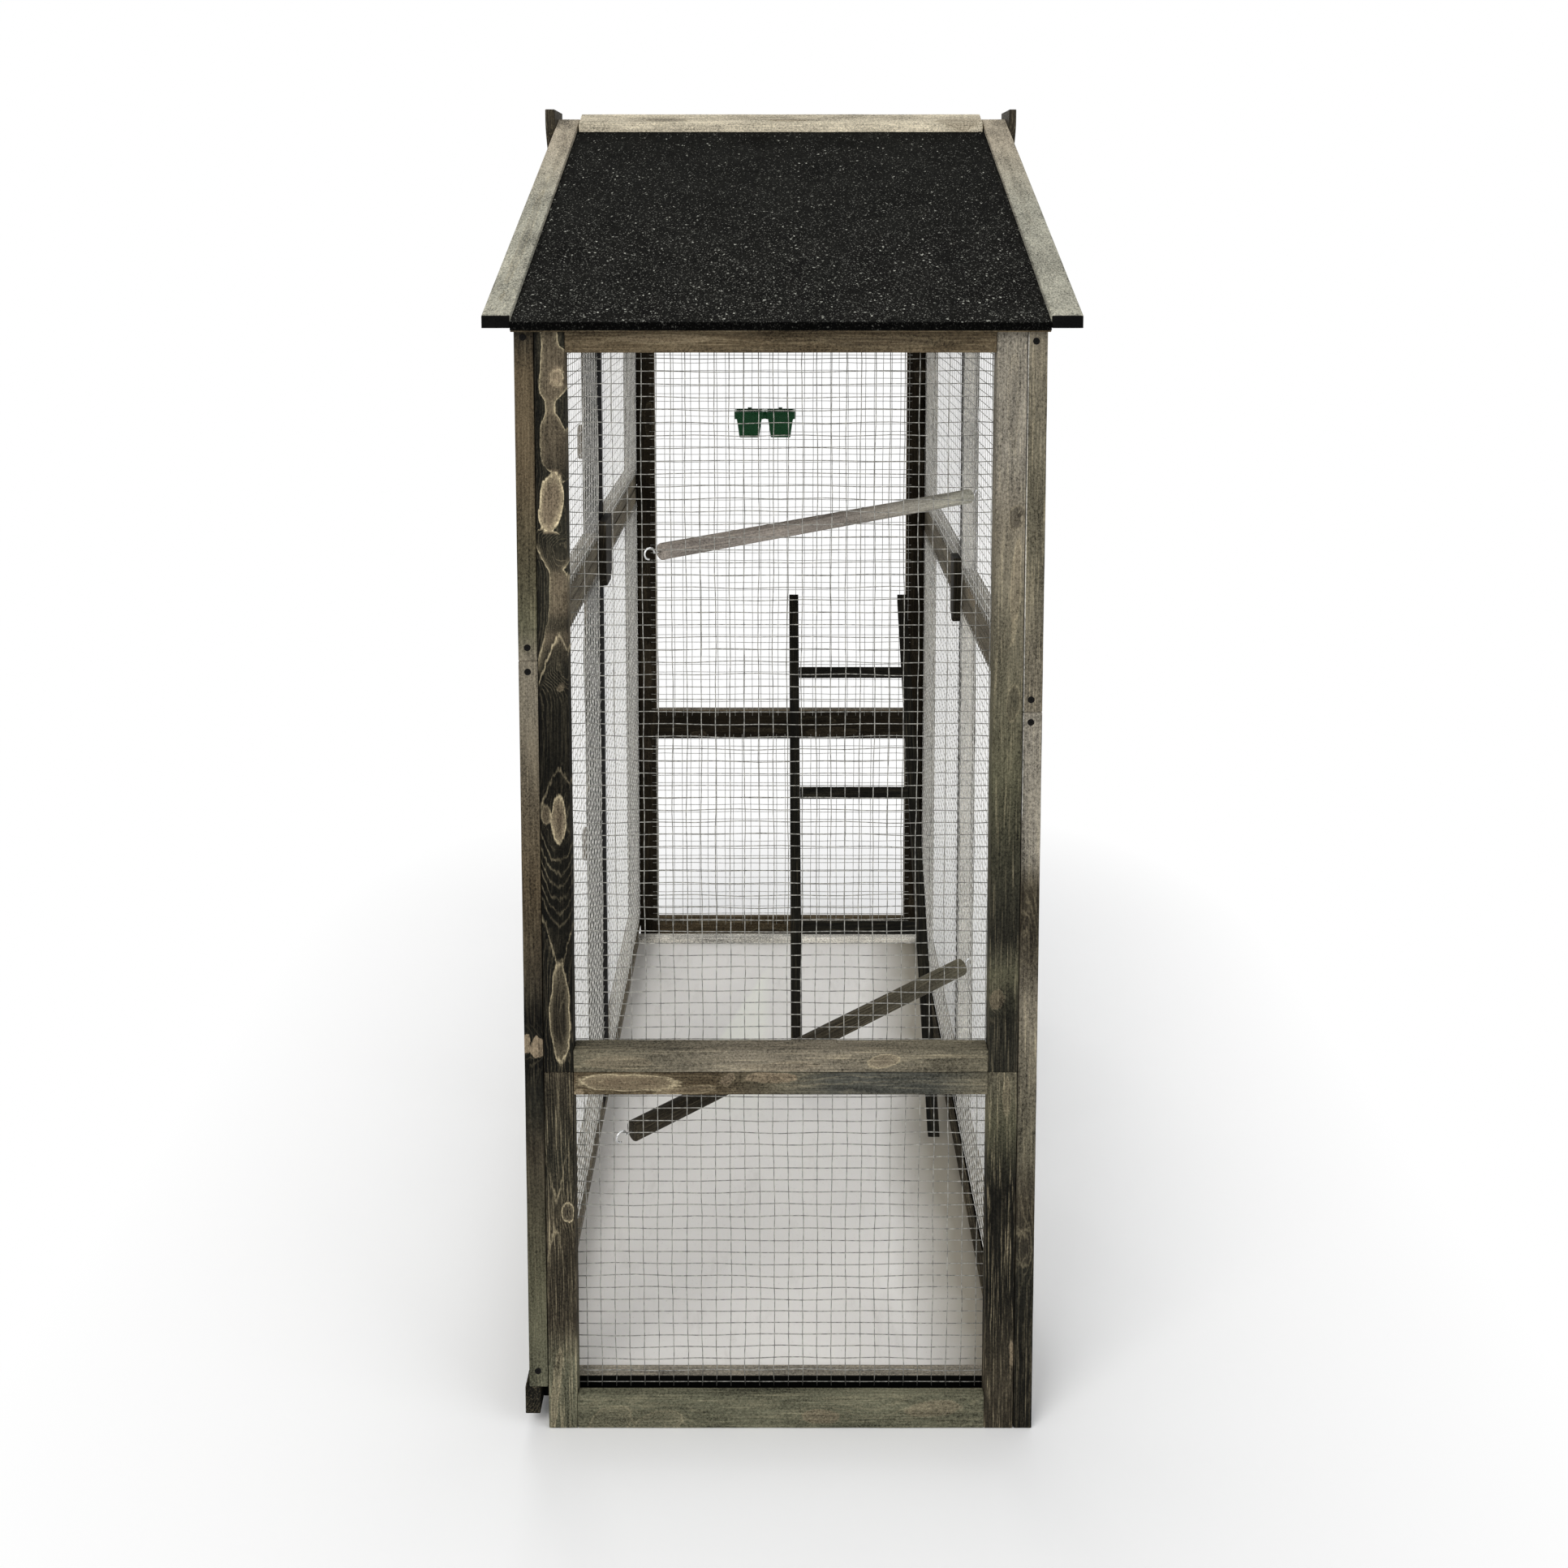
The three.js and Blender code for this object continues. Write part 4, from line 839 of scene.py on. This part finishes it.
# Splice plates
def splice(name, wall, width, seam, seed):
    piece = Piece()
    z0, z1, half, cut = seam - 58, seam + 58, width / 2, 16
    outline = [(-half + cut, z0), (half - cut, z0), (half, z0 + cut), (half, z1), (-half, z1), (-half, z0 + cut)]
    # The plate's inner part is painted darker: painted shade
    prism(piece, outline, 2.0, 15.0, wall, (0, 2, 1), Look("umber", paint=dim(2.5, 0.5)), 2, 0, 1.4, seed=seed)
    piece.build(name, "dark_wood", SMOOTH_WOOD)


splice("front_splice_plate", FRONT, 78, FRONT_SEAM, 131)
splice("back_splice_plate", BACK, 44, BACK_SEAM, 133)


# Roof
def under(y):
    return ROOF_BASE + (HALF_LENGTH + y) * ROOF_SLOPE


# A roof outline lies on y and z and is drawn out along x
ROW = (1, 2, 0)
HALF_TURN = Matrix.Rotation(math.pi, 4, "Z")
BOARD_UP = 12.5 / math.cos(ROOF_ANGLE)
VERGE_UP = 15.0 / math.cos(ROOF_ANGLE)
RIDGE_UP = 14.5 / math.cos(ROOF_ANGLE)
DECK_BOARD, RIDGE_BOARD, GABLE_BOARD, VERGE_GAP = 98, 42, 96, 5


def slab(y0, y1, low, high):
    return [(y0, under(y0) + low), (y1, under(y1) + low), (y1, under(y1) + high), (y0, under(y0) + high)]


def roof_slope(end, turn, seed):
    """Deck boards side by side along the slope, under a felt that folds down over the eave."""
    deck = Piece()
    width = DECK_BOARD * math.cos(ROOF_ANGLE)
    for number, edge in enumerate(np.arange(EAVE, -1, width)):
        upper = min(edge + width, -0.2)
        prism(deck, slab(edge + 0.3, upper - 0.3, 0, BOARD_UP - 2.2), -ROOF_HALF, ROOF_HALF, turn, ROW,
              Look("bark"), 0, 1, 0.9, 16, 24, seed + number)
    deck.build(f"roof_{end}_deck_boards", "roof_felt", WOOD, node=f"roof_{end}_slope")
    felt = Piece()
    thick = 1.9
    front = EAVE - 2
    lip = under(EAVE) + BOARD_UP - 11
    stops = np.linspace(EAVE + 6, -0.2, 26)
    outline = [(front, lip), (front + 1.8, lip), (EAVE + 0.1, lip + 10.4 - thick)]
    outline += [(y, under(y) + BOARD_UP - thick) for y in stops]
    outline += [(y, under(y) + BOARD_UP) for y in reversed(stops)]
    outline += [(front + 1.6, under(front + 1.6) + BOARD_UP - 0.2), (front + 0.3, under(front) + BOARD_UP - 1.2)]
    prism(felt, outline, -ROOF_HALF, ROOF_HALF, turn, ROW, Look("char"), 0, 1, 0, 30, 24, seed)
    felt.build(f"roof_{end}_felt", "roof_felt", FELT)


# The verge boards' end faces at the eave are painted near black and plain: painted shade
def shaded_eave_end(points, tint, mark, figure):
    end = points[:, 1] < EAVE + 0.62
    tint[end, :3] = linear((9, 9, 8))
    figure[end] = 0


def verge(name, side, width, turn, seed, **figure):
    piece = Piece()
    x0 = ROOF_HALF + FIT if side > 0 else -ROOF_HALF - FIT - width
    low = VERGE_GAP
    look = Look((-637, "silver"), (-330, "silver"), (-100, "dun"), paint=shaded_eave_end, **figure)
    prism(piece, slab(EAVE, -0.15, low, low + VERGE_UP), x0, x0 + width, turn, ROW, look, 1, 0, 1.0, 7, 4, seed)
    piece.build(name, "pale_boards", WOOD)


for end, turn, front_side, seed in (("right", Matrix.Identity(4), -1, 151), ("left", HALF_TURN, 1, 171)):
    roof_slope(end, turn, seed)
    edge = front_side * (ROOF_HALF + 18)
    verge(f"front_{end}_verge_board", front_side, 36, turn, seed + 20, rings=0.2, streaks=0.35,
          islands=[(-420, edge, 150, 5, -0.25, 0.3, 0.01), (-150, edge + 6, 60, 4, -0.2, 0.2)])
    verge(f"back_{end}_verge_board", -front_side, 40, turn, seed + 21, rings=0.1, streaks=0.2,
          islands=[(-260, -edge, 120, 5, -0.15, 0.1)])
    ridge = Piece()
    low = BOARD_UP + FIT
    reach = ROOF_HALF - 3
    prism(ridge, slab(-RIDGE_BOARD * math.cos(ROOF_ANGLE), -0.15, low, low + RIDGE_UP), -reach, reach, turn, ROW,
          Look("bare", rings=0.15, streaks=0.2), 0, 1, 1.2, 7, 10, seed + 25)
    ridge.build(f"ridge_{end}_board", "pale_boards", WOOD)

for side, turn, thick, verge_width in (("back", Matrix.Identity(4), 12, 40), ("front", HALF_TURN, 16, 36)):
    gable = Piece()
    place = HALF_WIDTH - 18
    for k in range(3):
        foot = k * (GABLE_BOARD + 0.4)
        head = foot + GABLE_BOARD
        low, high = [HALF_LENGTH - (z + 0.6) / ROOF_SLOPE for z in (foot, head)]
        z0, z1 = ROOF_BASE + foot, ROOF_BASE + head
        outline = [(-low, z0), (low, z0), (high, z1), (-high, z1)]
        prism(gable, outline, place, place + 12, turn, ROW, Look("stone"), 1, 2, 1.0, 14, 12, 201 + k)
    gable.build(f"{side}_gable_board", "washed_wood", WOOD)
    # The apex plate: square shoulders, then a curve through three points down to a blunt tip
    plate = Piece()
    top = under(0) + VERGE_GAP + VERGE_UP + 13
    curve = np.array([(-42, top - 18), (-42, top - 44), (-8, top - 88)])
    outline = [(-42, top), (-42, top - 18)]
    outline += [np.array([(1 - t) ** 2, 2 * t * (1 - t), t * t]) @ curve for t in np.linspace(0, 1, 9)[1:]]
    outline += [(-x, z) for x, z in reversed(outline)]
    place = ROOF_HALF + verge_width + 0.6
    prism(plate, outline, place, place + thick, turn, ROW, Look("umber"), 2, 1, 1.2, 8, 8, 221)
    plate.build(f"{side}_apex_plate", "dark_wood", SMOOTH_WOOD)


# Floor tray
def tray():
    top, bottom = 51.5, 21.5
    x0, x1, half, side = -325.7, 310.3, 598.8, 19
    identity = Matrix.Identity(4)

    # The near board's outer face and underside are painted near black: painted shade
    def shaded_outside(points, tint, mark, figure):
        on = (points[:, 1] < 0.5 - half) | (points[:, 2] < bottom + 0.5)
        tint[on, :3] = linear((4, 4, 3))
        figure[on] = 0

    near = Look("frost", rings=0.1, streaks=0.3, islands=[], paint=shaded_outside)
    far = Look("chalk", rings=0, streaks=0, islands=[])
    front = Look("frost", rings=0.1, streaks=0.3)
    gap = side + 0.2
    boards = Piece()
    for xa, xb, ya, yb, look, seed, pitch in (
            (x0, x1, -half, side - half, near, 301, 6), (x0, x1, half - side, half, far, 302, 9),
            (x0, x0 + 10, gap - half, half - gap, front, 303, 9),
            (x1 - 10, x1, gap - half, half - gap, Look("umber"), 304, 9)):
        box_lath(boards, (xa, ya, bottom), (xb, yb, top), identity, look, 1.0, seed, pitch)
    boards.build("tray_boards", "washed_wood", WOOD, "tray", "tray_pan")

    sheet = Piece()
    xs = np.linspace(x0 + 10.1, x1 - 10.1, 40)
    ys = np.linspace(side + 0.1 - half, half - side - 0.1, 74)
    rows, n = len(xs), len(ys)
    upper = [(x, y, 39.4 + 0.6 * noise.noise(Vector((x * 0.012, y * 0.012, 3)))) for x in xs for y in ys]
    lower = [(x, y, 36.2) for x in xs for y in ys]
    base = len(upper)
    faces = []
    for i in range(rows - 1):
        for a in range(i * n, i * n + n - 1):
            faces.append((a, a + n, a + n + 1, a + 1))
            faces.append((a + base, a + base + 1, a + base + n + 1, a + base + n))
    loop = list(range(n)) + [i * n + n - 1 for i in range(1, rows)]
    loop += list(range(rows * n - 2, (rows - 1) * n - 1, -1)) + [i * n for i in range(rows - 2, 0, -1)]
    for a, b in zip(loop, loop[1:] + loop[:1]):
        faces.append((a, b, b + base, a + base))
    sheet.add(np.array(upper + lower) * MM, faces)
    sheet.build("tray_floor_sheet", "tray_white", SHEET, "tray")

    board = Piece()
    z1, z0, reach, grip = 58.5, 19.5, HALF_LENGTH - 2, 60
    outline = [(-reach, z0), (-grip, z0)]
    outline += [(grip * (2 * t - 1), z0 + 2 * t * (1 - t) * 24) for t in np.linspace(0, 1, 15)[1:-1]]
    outline += [(grip, z0), (reach, z0), (reach, z1), (-reach, z1)]
    # The board takes a near black tone: painted shade
    prism(board, outline, -346, -326, identity, ROW, Look("pitch"), 1, 2, 1.0, 14, 10, 305)
    board.build("tray_front_board", "washed_wood", WOOD, "tray")


tray()
for name, wall in (("tray_right_runner", RIGHT), ("tray_left_runner", LEFT)):
    runner = Piece()
    reach, low, high = END_HALF - STILE - FIT, 9.2, 21.2
    box_lath(runner, (-reach, -12.7, low), (reach, 13.3, high), wall, Look("pitch"), 1.0, 311)
    runner.build(name, "dark_wood", WOOD)


# Perches and hooks
def perch(name, diameter, near_x, far_y, height, tones, seed):
    """A round perch across the corner from the right to the back wall, with an open hook at both ends."""
    near = Vector((-near_x, -INNER_LENGTH + FIT + WIRE / 2, height))
    far = Vector((INNER_WIDTH - FIT - WIRE / 2, -HALF_LENGTH + far_y, height))
    span = far - near
    eye, shank = 7.5, 10
    r = diameter / 2
    half = span.length / 2 - eye - shank - FIT
    dice = random.Random(seed)
    profile = [(0, -half), (r - 2, -half), (r - 0.6, -half + 0.6), (r, -half + 2)]
    profile += [(r - dice.uniform(0, 0.12), z) for z in np.linspace(-half + 10, half - 10, 90)]
    profile += [(r, half - 2), (r - 0.6, half - 0.6), (r - 2, half), (0, half)]
    look = Look((0, tones[0]), (300, tones[1]), rings=0.1, streaks=0.2, islands=[])
    rod = Piece()
    turn = span.to_track_quat("Z", "Y").to_matrix().to_4x4()
    lathe(rod, profile, Matrix.Translation((near + far) / 2) @ turn, 28, look, seed)
    rod.build(name, "dark_wood", SMOOTH_WOOD)
    level = Matrix.Rotation(math.atan2(span.y, span.x), 4, "Z")
    bend = [math.pi * (1 - 1.5 * k / 24) for k in range(25)]
    for end, place, way in (("right_hook", near, -1), ("back_hook", far, 1)):
        path = [(-eye - x, 0) for x in (shank - 0.4, 5, 2.2)]
        path += [(eye * math.cos(angle), eye * math.sin(angle)) for angle in bend]
        hook = Piece()
        tube(hook, placed(Matrix.Translation(place) @ level, [(x * way, 0, z) for x, z in path]), 1.3 * MM, 10)
        hook.build(f"{name}_{end}", "zinc_steel", ZINC)


perch("upper_perch", 22.4, UPPER_NEAR, UPPER_FAR, UPPER_PERCH, ("dove", "silver"), 321)
# The lower perch is darker towards its near end: painted shade
perch("lower_perch", 27, LOWER_NEAR, LOWER_FAR, LOWER_PERCH, ("umber", "stone"), 331)


# Ladder
def ladder():
    """Two rails that lean from the left wall's net to the tray, the front one shorter, and three rungs."""
    top, foot, run, depth, width, half = 824.0, 53.0, 701.0, 12.0, 20.0, 108.5
    length = math.hypot(run, top - foot)
    lean = math.atan2(run, top - foot)
    tan = math.tan(lean)
    place = Matrix.Translation((147, INNER_LENGTH - WIRE - 2 * FIT, top)) @ Matrix.Rotation(-lean, 4, "X")
    shade = Look("pitch", rings=0.08, streaks=0.08, islands=[])
    for side, x0, short, seed in (("front", -half - width, 70, 341), ("back", half, 0, 342)):
        low = short - length
        outline = [(0, low), (depth, low + depth * tan), (depth, -depth / tan), (0, 0)]
        rail = Piece()
        prism(rail, outline, x0, x0 + width, place, ROW, shade, 2, 0, 1.0, 14, 5, seed)
        rail.build(f"ladder_{side}_rail", "dark_wood", SMOOTH_WOOD)
    reach, first, pitch = half - FIT, 181, 257
    for k in range(3):
        down = first + k * pitch
        rung = Piece()
        box_lath(rung, (-reach, 0, -down - 11), (reach, 10, -down + 11), place, shade, 1.2, 351 + k)
        rung.build(f"ladder_rung_{k + 1}", "dark_wood", SMOOTH_WOOD)


ladder()


# Double feeder
def rounded_ring(half_x, y0, y1, z, corner, count=6):
    """Points of a rounded rectangle, from y0 at the back to y1 at the front."""
    points = []
    centres = [(half_x - corner, y0 - corner, 0), (-half_x + corner, y0 - corner, 90),
               (-half_x + corner, y1 + corner, 180), (half_x - corner, y1 + corner, 270)]
    for cx, cy, start in centres:
        for k in range(count + 1):
            angle = math.radians(start + 90 * k / count)
            points.append((cx + corner * math.cos(angle), cy + corner * math.sin(angle), z))
    return points


def loft(piece, rings, matrix):
    """Joins rings of equal length into a skin."""
    piece.add(placed(matrix, [p for ring in rings for p in ring]), skin(len(rings), len(rings[0])), True)


def feeder():
    # Rings of a cup, as height, half width and front: up the outside, over the rim and down the inside
    outside = ((-56, 20, -46), (-55.4, 21.2, -47), (-30, 24.6, -47.8), (-17, 26.8, -48), (-16, 27, -48))
    rim = ((-16, 30.8, -50.9), (-15.3, 31.4, -51), (-1.2, 31.5, -51), (-0.2, 31, -50.6), (0, 30.2, -49.8))
    inside = ((0, 28.4, -48.2), (-0.8, 27.8, -47.6), (-30, 23.2, -45), (-52, 19.6, -43.6), (-53.6, 17.8, -42))
    cup = [rounded_ring(half, back, front, z, corner)
           for rows, back, corner in ((outside, -0.5, 4), (rim, -0.2, 5), (inside, -2.8, 4))
           for z, half, front in rows]
    middle_x, apart = -34, 33.5
    place = Matrix.Translation((middle_x, INNER_LENGTH - WIRE - 2 * FIT, FEEDER_RIM))
    piece = Piece()
    for middle in (-apart, apart):
        matrix = place @ Matrix.Translation((middle, 0, 0))
        loft(piece, cup, matrix)
        # The lug that hangs over a wire of the net
        block(piece, (-4, -2.4, 1.0), (4, 4.0, 3.0), matrix)
        block(piece, (-4, 2.0, -11.0), (4, 4.0, 2.0), matrix)
    loft(piece, [rounded_ring(6, -0.4, -49, z, 2) for z in (-15.5, -1.0)], place)
    side_lug = [rounded_ring(3.2, -14, -22, z, 1.5) for z in (-13, -4)]
    loft(piece, side_lug, place @ Matrix.Translation((61.7, 0, 0)))
    piece.build("double_feeder", "feeder_green", PLASTIC)


feeder()


# Turn buttons, each in the middle of its door's height
for name, low, high in (("lower", FRONT_FOOT + DOOR_GAP, FRONT_SEAM - DOOR_GAP),
                        ("upper", FRONT_SEAM + DOOR_GAP, EAVE_UNDERSIDE - DOOR_GAP)):
    middle = (low + high) / 2
    outline = [(10 * math.cos(a), drop + 10 * math.sin(a)) for drop, start in ((0, 0), (-40, math.pi))
               for a in np.linspace(start, start + math.pi, 11)]
    matrix = FRONT @ Matrix.Translation((19.5, -LATH - 0.6 - 8, middle))
    button = Piece()
    prism(button, outline, 0, 8, matrix, (0, 2, 1), Look("bark"), 2, 0, 1.2, 6, 4, 361)
    button.build(f"{name}_turn_button", "dark_wood", SMOOTH_WOOD, f"{name}_button")
    head = Piece()
    screws(head, [(-HALF_WIDTH - 8.6, -19.5, middle)], (-1, 0, 0), 4.5)
    head.build(f"{name}_turn_button_screw", "zinc_steel", SCREW, f"{name}_button")

# Screws in the near edges of the long walls
edge_screws = Piece()
for x, heights in ((-328, (1484, 1081, 1049, 83)), (325, (1479, 1012, 982))):
    screws(edge_screws, [(x, -HALF_LENGTH, z) for z in heights], (0, -1, 0), 4.4)
edge_screws.build("edge_screws", "zinc_steel", SCREW)

for name, node in list(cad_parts.items()):
    if "hinge" in name:
        node.data.materials.clear()
        node.data.materials.append(ZINC)


# Stage, light and camera
WHITE = (1.0, 1.0, 1.0, 1.0)


def seen(g):
    """1 on the rays that show the stage itself, 0 on those that only light the house."""
    ray = g.put("LightPath", out="Is Camera Ray")
    return (ray + ray.beside("Is Glossy Ray")).maths("ADD", ray.beside("Is Transmission Ray"), clamp=True)


def stage():
    """A white floor with soft shadows that fades to plain white away from the house, and a white world."""
    size = 30.0
    floor = bpy.data.meshes.new("floor")
    floor.from_pydata([(-size, -size, 0), (size, -size, 0), (size, size, 0), (-size, size, 0)], [], [(0, 1, 2, 3)])
    ground = bpy.data.objects.new("floor", floor)
    scene.collection.objects.link(ground)
    g = Graph("pale_floor")
    footprint = (0.36, 0.64, 0)
    past = g.vector("MAXIMUM", g.vector("SUBTRACT", g.vector("ABSOLUTE", g.place()), footprint))
    away = g.vector("LENGTH", past, out="Value")
    glow = g.put("Emission", {"Color": WHITE, "Strength": 1.0})
    matt = g.surface(WHITE, 1.0, Specular_IOR_Level=0.0)
    floor.materials.append(g.finish(g.put("MixShader", {0: away.span(0.02, 0.75) * seen(g), 1: matt, 2: glow})))
    ground.location.z = -0.0005

    g = Graph("world", True)
    sky = g.put("Background", {"Color": (0.98, 0.99, 1.0, 1.0), "Strength": 0.54})
    backdrop = g.put("Background", {"Color": WHITE, "Strength": 1.0})
    scene.world = g.finish(g.put("MixShader", {0: seen(g), 1: sky, 2: backdrop}), "OutputWorld")


def area_light(name, place, aim, size, energy, colour=(1, 1, 1)):
    data = bpy.data.lights.new(name, "AREA")
    data.shape = "RECTANGLE"
    data.size, data.size_y = size
    data.energy = energy
    data.color = colour
    lamp = bpy.data.objects.new(name, data)
    scene.collection.objects.link(lamp)
    lamp.location = place
    lamp.rotation_euler = (Vector(aim) - Vector(place)).to_track_quat("-Z", "Y").to_euler()


def camera():
    """The photograph's view, from its focal length, principal point and horizon in pixels."""
    focal, picture, middle, level, depth = 1700.0, 1932.0, 962.0, 285.0, 21375.0
    away, height = 1748.0, 1.6181
    tilt = math.atan(focal / depth)
    data = bpy.data.cameras.new("camera")
    data.sensor_width = 36.0
    data.lens = focal / picture * data.sensor_width
    data.shift_x = 0.5 - middle / picture
    data.shift_y = (level + focal * math.tan(tilt)) / picture - 0.5
    data.clip_start = 0.05
    eye = bpy.data.objects.new("camera", data)
    scene.collection.objects.link(eye)
    eye.location = (0, -(HALF_LENGTH + away) * MM, height)
    eye.rotation_euler = (math.pi / 2 - tilt, 0, 0)
    scene.camera = eye


stage()
area_light("key", (-2.6, -4.2, 4.4), (0, 0, 1.0), (3.2, 3.2), 145, (1.0, 0.985, 0.96))
area_light("fill", (4.2, -3.0, 2.6), (0, 0, 0.8), (3.0, 3.0), 60, (0.95, 0.97, 1.0))
area_light("back", (-1.0, 4.6, 3.6), (0, 0, 0.9), (3.4, 3.0), 78)
camera()
scene.view_settings.view_transform = "Standard"


def corners(box):
    return [[float(v) for v in corner] for corner in box]
